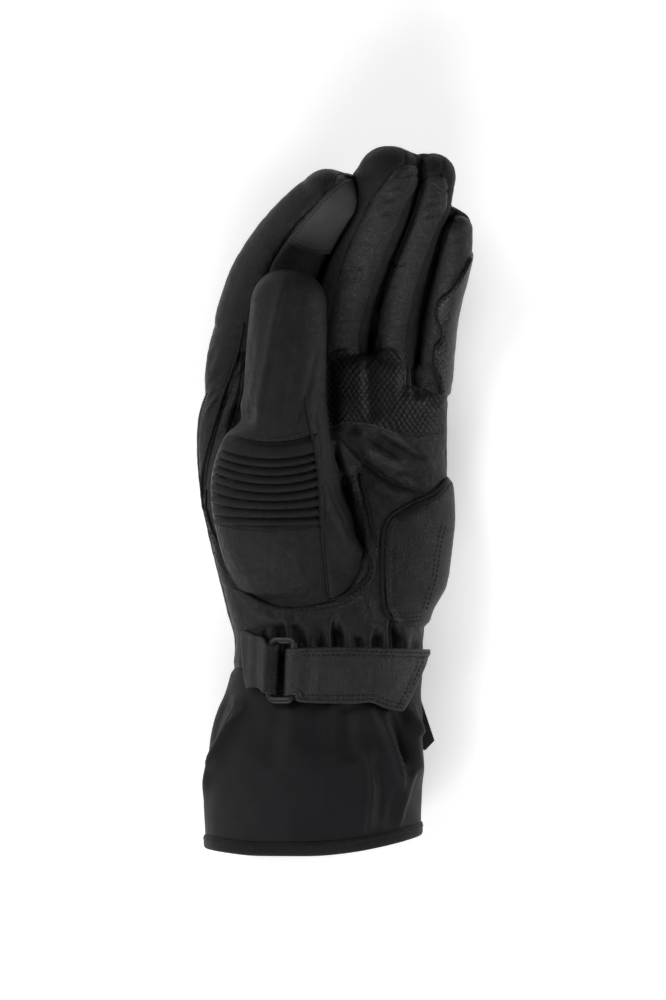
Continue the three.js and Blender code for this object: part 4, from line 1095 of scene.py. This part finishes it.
def open_to_the_rest(spot):
    """The hand's wall has no skin where the thumb and fingers open into it, from their first sections on."""
    apart = []
    for form in (THUMB_FORM, *FINGERS.values()):
        lap = THUMB_LAP if form is THUMB_FORM else FINGER_LAP
        apart.append(np.maximum(form.outside(spot.points) + lap, form.rows[0, 0] - spot.y))
    return np.min(apart, axis=0)


def back_leather_round_the_edge(piece):
    """The back's leather comes round the hand's edge, as far as the piping of the double seam."""
    lowest = 150  # the double seam ends a little above this Y
    mesh = piece.data
    mesh.materials.append(back_finish)
    middles = np.empty(3 * len(mesh.polygons))
    mesh.polygons.foreach_get("center", middles)
    x, y, _ = (middles.reshape(-1, 3) * 1000 + SHIFT).T
    apart, _ = to_line(x, y, smooth_line(EDGE_SEAMS[0][0], 2.0))
    beyond = (apart < -PIPING_SHIFT) & (y > lowest)
    mesh.polygons.foreach_set("material_index", beyond.astype(np.int32))


palm = panel(
    "palm_leather", HAND_FORM, over_side_seam, hand_relief, palm_finish, "leather", "palm_panel",
    angles=(0, 180), shape=on_floor, clear=open_to_the_rest,
)
back = panel(
    "hand_back", HAND_FORM, lambda s: -over_side_seam(s), hand_relief, back_finish, "back_leather",
    "back_panel", angles=(170, 370), step=COARSE, shape=on_floor, clear=open_to_the_rest,
)
back_leather_round_the_edge(palm)


# The fingers
def clear_of_hand(spot, gap):
    """Distance over the hand's own surface, with its dents and folds."""
    palm = smoothstep(spot.z, 22, 27) * (1 - smoothstep(spot.y, 206, 216))
    return HAND_FORM.outside(spot.points) - palm * palm_height(spot) + sunk(spot) + gap


def finger_front(name):
    outline = smooth_outline(FRONTS[name], 2.0)
    form = FINGERS[name]
    share = INDEX_SEAM if name == "index" else FINGER_SEAM

    def inside(spot):
        return np.minimum(in_outline(spot.x, spot.y, outline), spot.height - share * form.rows[-1, 4])

    return inside


made_before = []
for seed, (name, form) in enumerate(FINGERS.items()):
    front = finger_front(name)

    def clear(spot):
        apart = [clear_of_hand(spot, 1.2)] + [other.outside(spot.points) + 0.3 for other in made_before]
        return np.min(apart, axis=0)

    relief = finger_relief(name, 100 + 10 * seed)
    panel(
        f"{name}_front", form, front, relief, finger_finish, "leather", f"{name}_finger_front",
        between=(FINGER_START, form.end), angles=(-30, 210), step=0.66, clear=clear,
    )
    # The middle, ring and little fingers' backs take the darker side leather, which is partly painted shade
    # of the gaps between them.
    panel(
        f"{name}_back", form, lambda s: -front(s), relief, back_finish if name == "index" else side_and_shade_finish,
        "back_leather", f"{name}_finger_back", between=(FINGER_START, form.end), step=COARSE, clear=clear,
    )
    made_before.append(form)

# The thumb
thumb_outline = smooth_outline(THUMB_FRONT, 2.0)


def thumb_front(spot):
    return np.minimum(in_outline(spot.x, spot.y, thumb_outline), spot.height - THUMB_SEAM * spot.full_high)


def between_levels(low, high):
    """The thumb's front between two levels of its ribs."""
    return lambda s: np.min([thumb_front(s), rib_level(s) - low, high - rib_level(s)], axis=0)


def beside_front(side):
    """What isn't the thumb's front, to the right of its side seam or, with side -1, to the left."""
    return lambda s: np.minimum(-thumb_front(s), side * (s.x - THUMB_SIDE_X))


def thumb_panel(name, inside, relief, finish, slot, node, angles, step=FINE):
    panel(
        name, THUMB_FORM, inside, relief, finish, slot, node, between=(THUMB_START, THUMB_FORM.end),
        angles=angles, step=step, clear=lambda s: clear_of_hand(s, 0.2),
    )


thumb_panel("thumb_heel", between_levels(-np.inf, STRETCH_LOW), thumb_relief, thumb_finish, "leather",
            "thumb_heel_panel", (0, 180))
thumb_panel("thumb_ribs", between_levels(STRETCH_LOW, STRETCH_TOP), rib_relief, stretch_finish, "stretch",
            "thumb_stretch_panel", (0, 180), 0.44)
thumb_panel("thumb_face", between_levels(STRETCH_TOP, np.inf), thumb_relief, thumb_finish, "leather",
            "thumb_front", (0, 180))
thumb_panel("thumb_outside", beside_front(-1), thumb_relief, back_finish, "back_leather",
            "thumb_back", (0, 360), COARSE)
thumb_panel("thumb_side", beside_front(1), thumb_relief, thumb_finish, "leather",
            "thumb_side_panel", (0, 360))


# The cuff
def lifted(points, low=0.0):
    points[:, 1] += hem_lift(points[:, 0], points[:, 1])
    return on_floor(points, low)


def everywhere(spot):
    """The cuff's tube is left whole, so all of it lies far from a sewn edge."""
    return np.full(len(spot.x), 5.0)


def cuff_lining_relief(spot, edge):
    return np.minimum(cuff_relief(spot, edge), 0) - 1.4


def hand_lining_relief(spot, edge):
    return np.minimum(palm_share(spot) * palm_height(spot), 0) - 2.2


cuff = panel(
    "cuff_shell", CUFF_FORM, everywhere, cuff_relief, fabric_finish, "fabric", "cuff",
    step=0.88, thick=FABRIC, shape=lifted,
)
cuff_lining = panel(
    "cuff_lining", CUFF_FORM, everywhere, cuff_lining_relief, lining_finish, "fabric",
    step=2.4, thick=LINING, shape=lambda p: lifted(p, 1.5),
)
panel(
    "hand_lining", HAND_FORM, open_to_the_rest, hand_lining_relief, lining_finish, "fabric",
    step=2.4, thick=LINING, shape=lambda p: on_floor(p, 1.5),
)

# The hem binding: its profile as drop under the cuff's edge and growth out of its wall
BINDING = [
    [-0.2, 0.5], [2.6, 0.8], [4.9, 0.6], [5.9, -0.3], [5.9, -1.7], [5.0, -2.5], [2.6, -2.8], [-0.2, -2.6],
]
profile = smooth_outline(BINDING, HEM_STEP)[::-1]
rounds = CUFF_FORM.angles_between(0, 0, 360, HEM_ROUND)[:-1]
bare = CUFF_FORM.at(np.zeros(len(rounds)), rounds)
fold = cuff_relief(bare, bare.x)
rings_of_hem = []
for drop, grow in profile:
    ring = CUFF_FORM.at(np.zeros(len(rounds)), rounds, grow)
    ring = ring.points + ring.out * fold[:, None]
    ring[:, 1] = HEM_Y - drop + hem_lift(bare.x, np.full(len(rounds), HEM_Y))
    rings_of_hem.append(on_floor(ring, max(-grow, 0.0)))
rings_of_hem = np.array(rings_of_hem)
flow = np.meshgrid(np.arange(len(profile)) * HEM_STEP, np.arange(len(rounds)) * HEM_ROUND, indexing="ij")
flow = np.stack(flow, -1).reshape(-1, 2)
make("hem_tape", *tube(rings_of_hem, closed=True), binding_finish, "binding", "cuff_binding", flow)


# Pads and patches
def outline_of(corners):
    dense = smooth_outline(corners, 1.5)
    return lambda spot: in_outline(spot.x, spot.y, dense)


def between_edges(form, edges, spot):
    """Distance inside a patch whose edges are given as angles at row positions."""
    edges = np.array(edges, float)
    edges[:, 1:] = np.radians(edges[:, 1:])
    high = smooth_line(edges[:, [0, 1]], 0.02)
    low = smooth_line(edges[:, [0, 2]], 0.02)
    angle = (spot.angle + np.pi / 2) % (2 * np.pi) - np.pi / 2 if edges[:, 1].max() < 2.5 else spot.angle
    top = np.interp(spot.t, high[:, 0], high[:, 1]) - angle
    bottom = angle - np.interp(spot.t, low[:, 0], low[:, 1])
    ends = np.minimum(spot.t - edges[0, 0], edges[-1, 0] - spot.t) * form.pace.mean()
    return np.minimum(np.minimum(top, bottom) * spot.full_high, ends)


def pad_relief(spot, edge):
    crown = 2.3 * (1 - np.exp(-((edge / 1.7) ** 1.6)))
    return palm_height(spot) * 0.6 + crown + 0.3 + leather(spot.points, 0.5, 80)


heel_outline = outline_of(HEEL_PAD)
panel(
    "heel_cushion", HAND_FORM, lambda s: np.minimum(heel_outline(s), s.z - 12.5), pad_relief, palm_finish,
    "leather", "heel_pad", angles=(-20, 140), step=0.9,
    thick=lambda s, edge: pad_relief(s, edge) - palm_height(s) + 0.5,
)
touch_outline = outline_of(TOUCH_PAD)


def touch_relief(spot, edge):
    return 0.85 - 0.5 * hill(edge, 0.7) + leather(spot.points, 0.5, 105)


def touch_inside(spot):
    """The touch pad stays clear of the middle finger."""
    beside = FINGERS["middle"].outside(spot.points) + 0.3
    return np.min([touch_outline(spot), spot.height + 0.3 * spot.full_high, beside], axis=0)


panel(
    "touch_cap", FINGERS["index"], touch_inside, touch_relief, touch_finish, "touch", "index_touch_pad",
    between=(4, 7.99), angles=(-20, 205), step=0.7,
)


def guard_relief(spot, edge):
    return 1.15 - 0.5 * hill(edge, 0.6) + leather(spot.points, 0.6, 90)


def guard_inside(spot):
    """The guard stays clear of the palm and the next finger."""
    beside = FINGERS["ring"].outside(spot.points) - 0.2
    return np.min([between_edges(FINGERS["little"], GUARD, spot), clear_of_hand(spot, -0.2), beside], axis=0)


panel(
    "little_finger_shell", FINGERS["little"], guard_inside, guard_relief, guard_finish, "leather",
    "little_finger_guard", between=(0.5, 5.2), angles=(-70, 125), step=0.7, thick=1.5,
)


def strip_relief(spot, edge):
    return 0.35 + 1.3 * (1 - hill(edge, 5)) + leather(spot.points, 0.7, 105)


def strip_inside(spot):
    return between_edges(FINGERS["index"], BACK_STRIP, spot)


panel(
    "index_strip", FINGERS["index"], strip_inside, strip_relief, back_finish, "back_leather",
    "index_back_strip", between=(2, 7.1), angles=(140, 245), step=1.0, thick=1.4,
)


# The grip patch lies over the palm's top and the roots of three fingers
def around(level):
    """The mean of each place's four neighbours."""
    wide = np.pad(level, 1, mode="edge")
    return (wide[:-2, 1:-1] + wide[2:, 1:-1] + wide[1:-1, :-2] + wide[1:-1, 2:]) / 4


MISSED_Z = 12  # where nothing lies under the patch
FILL_PASSES = 14  # that let it span the gaps between the fingers
SMOOTH_PASSES = 10
grip_outline = smooth_outline(GRIP, 1.0)
low, high = grip_outline.min(0) - 1, grip_outline.max(0) + 1
columns, rows = (np.arange(low[k], high[k], GRIP_STEP) for k in (0, 1))
finger_pieces = [f"{name}_{part}" for name in FINGERS for part in ("front", "back")]
fronts = tree_of("palm_leather", "hand_back", *finger_pieces)
values, triangles = grid(rows, columns)
found = [fall(fronts, x, y)[0] for y, x in values]
level = np.array([MISSED_Z if place is None else place.z for place in found])
level = level.reshape(len(rows), len(columns))
for _ in range(FILL_PASSES):
    level = np.maximum(level, around(level))
lowest = level - 0.25
for _ in range(SMOOTH_PASSES):
    level = around(level)
level = np.maximum(level, lowest)
y, x = values.T
values = np.column_stack([values, level.ravel()])
values, triangles = clip(values, triangles[:, ::-1], in_outline(x, y, grip_outline), False)
y, x, z = values.T
edge = np.maximum(in_outline(x, y, grip_outline), 0)
places = values[:, :2]
print_x, print_y = x + 0.7 * noise(places / 7, 301), y + 0.7 * noise(places / 7, 302)
slants = [GRIP_SLANT[0] * print_x + way * GRIP_SLANT[1] * print_y for way in (-1, 1)]
bars = [np.abs(slant / GRIP_PITCH % 1 - 0.5) * 2 for slant in slants]
worn = 0.62 + 0.38 * smoothstep(noise(places / 5, 303), -0.5, 0.4)
lattice = worn * np.maximum(*[1 - smoothstep(bar, 0.1, 0.42) for bar in bars])
rim = hill(edge, 0.9)
rise = 0.42 + 0.34 * np.maximum(lattice * (1 - rim), 0.6 * rim) - 0.35 * hill(edge, 0.35)
top = np.column_stack([x, y, z + rise])
bottom = np.column_stack([x, y, z - 0.5])
surfaces["grip"] = (top, triangles)
flow = np.column_stack([print_x, print_y])
make("grip_lattice", *walled(top, bottom, triangles), grip_finish, "grip", "grip_patch", flow)

# The wrist strap, its tab and ring
wrist = smooth_line(WRIST_LINE, 0.25)
reach = lengths(wrist)
reach -= np.interp(RING_X, wrist[:, 0], reach)
wrist_way = unit(np.gradient(wrist, axis=0))
ring_way = np.array([np.interp(0, reach, wrist_way[:, 0]), 0, np.interp(0, reach, wrist_way[:, 1])])
wrist_run = np.array([0, 1, WRIST_SLOPE])
wrist_run = wrist_run - ring_way * (wrist_run @ ring_way)
wrist_run /= wrist_run[1]


def over_wrist(along, height, y):
    """A point so far along the wrist from the ring's middle, and so high over it."""
    x, z, wx, wz = (np.interp(along, reach, v) for v in (*wrist.T, *wrist_way.T))
    size = np.hypot(wx, wz)
    spot = np.stack([x - wz / size * height, 0 * x + RING_Y, z + wx / size * height], -1)
    return spot + (y - RING_Y)[..., None] * wrist_run


# Places along the wrist and heights over it, for the band's middle and the ring's bars
BAR_AT = (RING_WIDTH - RING_BAR) / 2
BAND_LOW = 2.2 + STRAP / 2
BAND_UPPER = BAND_LOW + STRAP + GAP
FOLD_ALONG = RING_BAR / 2 + 2 * GAP + STRAP / 2
FOLD_UP = RING_THICKNESS / 2 + 2.3 * GAP + STRAP / 2
BAR_HEIGHT = BAND_LOW + FOLD_UP


def fold_round(bar, toward):
    """The fold of a band round one bar of the ring."""
    turn = np.linspace(0, np.pi, 7)
    return [[bar + toward * FOLD_ALONG * np.sin(a), BAR_HEIGHT - FOLD_UP * np.cos(a)] for a in turn]


STRAP_PATH = [
    [BAR_AT + 9, BAND_LOW], *fold_round(BAR_AT, -1), [BAR_AT + 5, BAR_HEIGHT + FOLD_UP * 0.7],
    [BAR_AT + 10, BAND_UPPER], [BAR_AT + 14, BAND_UPPER - 1], [BAR_AT + 19, BAND_LOW],
    *[[along, BAND_LOW] for along in (30, 38, 46, 52, 57, 62, 66, 70)],
]
TAB_PATH = [
    [-BAR_AT - 4.5, BAND_LOW], *fold_round(-BAR_AT, 1), [-BAR_AT - 2.2, BAR_HEIGHT + FOLD_UP],
    [-BAR_AT - 5.5, BAND_UPPER], [-BAR_AT - 8, BAND_UPPER - 1.2],
    *[[-BAR_AT - along, BAND_LOW - drop] for along, drop in ((11, 0.5), (16, 1.6), (21, 2.4), (24, 2.6))],
]


def band(name, path, low_y, high_y, corners, finish, node, seed):
    """A leather band along a path of (along, height), cut to an outline seen from above."""
    outline = smooth_outline(corners, 1.0)
    line = smooth_line(path, STRAP_STEP)
    way = unit(np.gradient(line, axis=0))
    values, triangles = grid(np.arange(len(line)), np.arange(low_y, high_y, STRAP_ROW))

    def places(values, side):
        i, y = values.T
        along, height, wa, wh = (np.interp(i, np.arange(len(line)), v) for v in (*line.T, *way.T))
        return over_wrist(along - wh * side, height + wa * side, y)

    spots = places(values, 0)
    values, triangles = clip(values, triangles, in_outline(spots[:, 0], spots[:, 1], outline), False)
    spots = places(values, 0)
    edge = np.maximum(in_outline(spots[:, 0], spots[:, 1], outline), 0)
    round_off = np.sqrt(1 - (1 - np.clip(edge / 0.8, 0, 1)) ** 2 * 0.85)
    grooves = 0.32 * (bell((edge - 1.7) / 0.42) + bell((edge - 3.6) / 0.42))
    across = np.stack([values[:, 0] * STRAP_STEP / 1.6, values[:, 1] / 8], 1)
    fine = 0.1 * noise(across, seed) + 0.06 * creases(across * 1.7, 0.3, seed + 1) - grooves
    top = places(values, STRAP / 2 * round_off + fine * smoothstep(edge, 0.2, 1))
    bottom = places(values, -STRAP / 2 * round_off)
    triangles = triangles[:, ::-1]
    surfaces[name] = (top, triangles)
    flow = np.stack([values[:, 0] * STRAP_STEP, values[:, 1]], 1)
    make(name, *walled(top, bottom, triangles), finish, "leather", node, flow)


band("strap_leather", STRAP_PATH, 60, 96, STRAP_OUTLINE, strap_finish, "wrist_strap", 200)
band("tab_leather", TAB_PATH, 68, 102, TAB_OUTLINE, palm_finish, "strap_tab", 210)

# The ring: a rounded bar round a rectangle with round corners
run = unit(wrist_run)
up = np.cross(ring_way, run)
half_wide = BAR_AT - RING_CORNER
half_long = (RING_LENGTH - RING_BAR) / 2 - RING_CORNER
loop = []
for quarter, (sx, sy) in enumerate([(1, 1), (-1, 1), (-1, -1), (1, -1)]):
    for a in np.linspace(0, np.pi / 2, 8) + quarter * np.pi / 2:
        loop.append([sx * half_wide + RING_CORNER * np.cos(a), sy * half_long + RING_CORNER * np.sin(a)])
loop = smooth_outline(loop, 1.2)
way = unit(np.roll(loop, -1, 0) - np.roll(loop, 1, 0))
way = way[:, :1] * ring_way + way[:, 1:] * run
side = np.cross(way, up)
turn = np.arange(16) * np.pi / 8
squareness = 0.55
c, n = np.cos(turn), np.sin(turn)
across = (RING_BAR / 2) * np.sign(c) * np.abs(c) ** squareness
rise = (RING_THICKNESS / 2) * np.sign(n) * np.abs(n) ** squareness
centre = over_wrist(np.zeros(1), np.full(1, BAR_HEIGHT), np.full(1, RING_Y))[0]
middle = centre + loop[:, :1] * ring_way + loop[:, 1:] * run
rings = middle[:, None] + side[:, None] * across[:, None] + up * rise[:, None]
make("ring_loop", *tube(rings, closed=True), plastic_finish, "plastic", "strap_ring")

# The bare ribbon label at the cuff's side, sewn in under the cuff's skin
values, triangles = grid(np.arange(45, 75, 0.5), np.arange(34, 48, 0.5))
y, x = values.T
corners = np.array(LABEL)
dense = [np.linspace(a, b, 12, endpoint=False) for a, b in zip(corners, np.roll(corners, -1, 0))]
skin = CUFF_FORM.outside(np.column_stack([x, y, np.full(len(x), LABEL_Z)])) + 0.6
inside = np.minimum(in_outline(x, y, np.vstack(dense)), skin)
values, triangles = clip(values, triangles[:, ::-1], inside, False)
y, x = values.T
flat = np.column_stack([x, y, LABEL_Z + 0.35 * np.sin((y - 45) / 5) + 0.06 * (x - 40)])
lift = np.array([0, 0, LABEL_THICKNESS / 2])
label = make("ribbon_label", *walled(flat + lift, flat - lift, triangles), ribbon_finish, "ribbon",
             "side_label", flat[:, :2])


# Seams, piping and stitches
def shifted(points, by):
    """A line moved by mm to the right of its way."""
    way = unit(np.gradient(points, axis=0))
    return points + by * np.stack([way[:, 1], -way[:, 0]], 1)


def laid(tree, corners, by=0.0, step=0.8):
    return under(tree, shifted(smooth_line(corners, step), by))


def laid_outline(tree, corners, inset, keep):
    """The inset of an outline, from its first kept place on, laid on the tree."""
    points = smooth_outline(corners, 0.8, -inset)
    kept = keep(*points.T)
    start = np.flatnonzero(kept & ~np.roll(kept, 1))
    if len(start):
        points, kept = np.roll(points, -start[0], 0), np.roll(kept, -start[0])
    return under(tree, points[kept])


THENAR = [
    [-55.8, 164.7], [-55.8, 156.2], [-53.6, 147.6], [-48.1, 135], [-43.2, 128.7], [-34.6, 120.2],
    [-25.7, 116.1], [-15.3, 114.3], [-4.5, 115.2], [4.5, 117.5], [13.1, 123.8], [15.8, 129.6], [13.1, 138.2],
]
HEEL_EDGE = [
    [52.6, 170.6], [45.5, 162.5], [33.8, 157.1], [25.7, 151.7], [22.6, 143.6], [22.4, 132], [22.4, 120],
    [23.8, 110], [28, 104.6],
]
HEEL_SIDE = [[50.8, 148.2], [48.6, 139.4], [46.4, 124.7], [41.5, 109]]
SLIT_EDGE = [[8.6, 171], [11.6, 159], [14.4, 147], [17.1, 137.3]]
RIB_EDGE = [(-45.4, 188.9), (-40.6, 187.0), (-33, 186.4), (-26.1, 186.6), (-18, 188), (-10.4, 190.6)]
RIB_LOW_EDGE = [(-54, 149.6), (-45, 147), (-30, 145.6), (-16, 146.4), (-7, 147.6)]
palm_tree = tree_of("palm_leather")
pad_tree = tree_of("heel_cushion")
strap_tree = tree_of("strap_leather")
tab_tree = tree_of("tab_leather")
thumb_tree = tree_of("thumb_heel", "thumb_ribs", "thumb_face", "thumb_side", "thumb_outside")
edge_tree = tree_of("palm_leather", "hand_back", "index_front", "index_back")
heel_tree = tree_of("palm_leather", "heel_cushion")

runs = [laid(palm_tree, THENAR, by) for by in (2.4, 4.2)]
runs += [laid(palm_tree, SLIT_EDGE, by) for by in (0.0, -1.9)]
stitches("palm_stitches", runs)
runs = [laid_outline(strap_tree, STRAP_OUTLINE, inset, lambda x, y: x > -15.5) for inset in (1.7, 3.6)]
runs += [laid(tab_tree, [[x, 97.5], [x, 88], [x, 77.6]]) for x in (-32.4, -34.2)]
runs += [laid_outline(tab_tree, TAB_OUTLINE, 1.6, lambda x, y: x < -35.5)]
stitches("strap_stitches", runs, height=0.36)
runs = [laid(pad_tree, HEEL_EDGE, -2.6), laid(pad_tree, HEEL_SIDE), laid(pad_tree, HEEL_SIDE, 1.8)]
runs += [laid(pad_tree, [[27, y], [33, y - 0.6], [40, y]]) for y in (109.4, 107.4, 105.4)]
stitches("heel_stitches", runs, 2.2, 1.6)
runs = [laid(thumb_tree, RIB_EDGE, by) for by in (-0.4, 2.2)] + [laid(thumb_tree, RIB_LOW_EDGE)]
stitches("thumb_stitches", runs)
runs = [laid_outline(tree_of("touch_cap"), TOUCH_PAD, 1.0, lambda x, y: y < 302)]
stitches("touch_stitches", runs, 2.0, 1.4, 0.4, 0.28)
runs = [laid_outline(tree_of("grip"), GRIP, 1.2, lambda x, y: x < 50)]
stitches("grip_stitches", runs, 2.0, 1.4, 0.42, 0.3)

# Piping: its name, what it lies on, its line and mm to the right of it, its radius and how deep it sinks in
PIPING = [
    ("heel_piping", heel_tree, HEEL_EDGE, 0.3, 0.8, 0.3),
    ("thumb_piping", palm_tree, THENAR, 0.9, 0.6, 0.2),
    ("edge_piping", edge_tree, EDGE_SEAMS[0][0], PIPING_SHIFT, 0.7, 0.35),
    ("root_piping", edge_tree, EDGE_SEAMS[1][0], -PIPING_SHIFT, 0.6, 0.3),
    ("strip_piping", thumb_tree, STRIP_SEAM, 0.0, 0.6, 0.35),
    ("slit_piping", palm_tree, SLIT_EDGE, -3.2, 0.7, 0.3),
]
for name, tree, line, by, radius, sink in PIPING:
    piping(name, *laid(tree, line, by, 0.7), radius, sink)

# Long stitches round the hem tape, on the profile's ring nearest to where they are sewn
nearest = int(np.argmin(np.hypot(*(profile - HEM_SEWN).T)))
closed = np.append(np.arange(len(rounds)), 0)
stitches("hem_stitches", [(rings_of_hem[nearest][closed], bare.out[closed])], 4.6, 3.4, 0.55, 0.36)


# Piping and stitches along the little finger's guard
def guard_line(inset, least):
    """The guard's upper edge, moved in by an angle, where it is at least so far inside the guard."""
    edges = np.array(GUARD, float)
    line = smooth_line(np.column_stack([edges[:, 0], np.radians(edges[:, 1]) - inset]), 0.04)
    spot = FINGERS["little"].at(*line.T, grow=1.1)
    seen = guard_inside(spot) > least
    return spot.points[seen], spot.out[seen]


piping("guard_rim", *guard_line(0.0, -0.6), 0.55, 0.4)
stitches("guard_stitches", [guard_line(0.14, 0.4)], 2.2, 1.6, 0.46, 0.32)


# Stage, light and camera
def floor(size, z, brightness, glow):
    half = size / 2
    mesh = bpy.data.meshes.new("floor")
    corners = [(-half, -half, z), (half, -half, z), (half, half, z), (-half, half, z)]
    mesh.from_pydata(corners, [], [(0, 1, 2, 3)])
    colours = {"Base_Color": (brightness, brightness, brightness, 1), "Emission_Color": (1, 1, 1, 1)}
    material, _ = principled(
        "floor", Roughness=0.9, Specular_IOR_Level=0.1, Emission_Strength=glow, **colours,
    )
    mesh.materials.append(material)
    linked("floor", mesh)


def softbox(name, place, aim, size, power):
    """A rectangular light that is turned to a height over the frame's origin."""
    light = bpy.data.lights.new(name, "AREA")
    light.shape = "RECTANGLE"
    light.size, light.size_y = size
    light.energy = power
    lamp = linked(name, light)
    lamp.location = place
    lamp.rotation_mode = "QUATERNION"
    lamp.rotation_quaternion = (Vector((0, 0, aim)) - Vector(place)).to_track_quat("-Z", "Y")


LENS = 400  # a long lens, in mm, as from far away
SENSOR = 36
VIEW_HEIGHT = 0.45  # metres from the picture's lower edge to its upper one
VIEW_MIDDLE = (0, 159.75, 25)
floor(6.0, -0.0004, 0.94, 0.34)
middle = (Vector(VIEW_MIDDLE) - Vector(SHIFT)) / 1000
camera = linked("camera", bpy.data.cameras.new("camera"))
camera.data.lens = LENS
camera.data.sensor_width = SENSOR
camera.data.clip_start = 0.5
camera.data.clip_end = 40
camera.location = (middle.x, middle.y, middle.z + VIEW_HEIGHT * LENS / SENSOR)
bpy.context.scene.camera = camera
softbox("left_box", (-2.6, 0.3, 1.3), 0.02, (1.0, 2.2), 20)
softbox("right_box", (2.6, 0.2, 1.3), 0.02, (1.0, 2.2), 26)
softbox("cuff_box", (-0.6, -2.4, 1.7), 0.02, (2.4, 1.4), 74)
softbox("tip_box", (-1.4, 1.6, 1.9), 0.02, (1.0, 1.0), 26)
softbox("left_strip", (-1.7, 0.5, 0.45), 0.03, (0.2, 1.4), 1.5)
softbox("right_strip", (1.7, 0.2, 0.4), 0.03, (0.2, 1.6), 5)
world = bpy.data.worlds.new("studio")
world.use_nodes = True
world.node_tree.nodes["Background"].inputs[0].default_value = (1, 1, 1, 1)
world.node_tree.nodes["Background"].inputs[1].default_value = 0.1
bpy.context.scene.world = world
bpy.context.scene.view_settings.view_transform = "Standard"
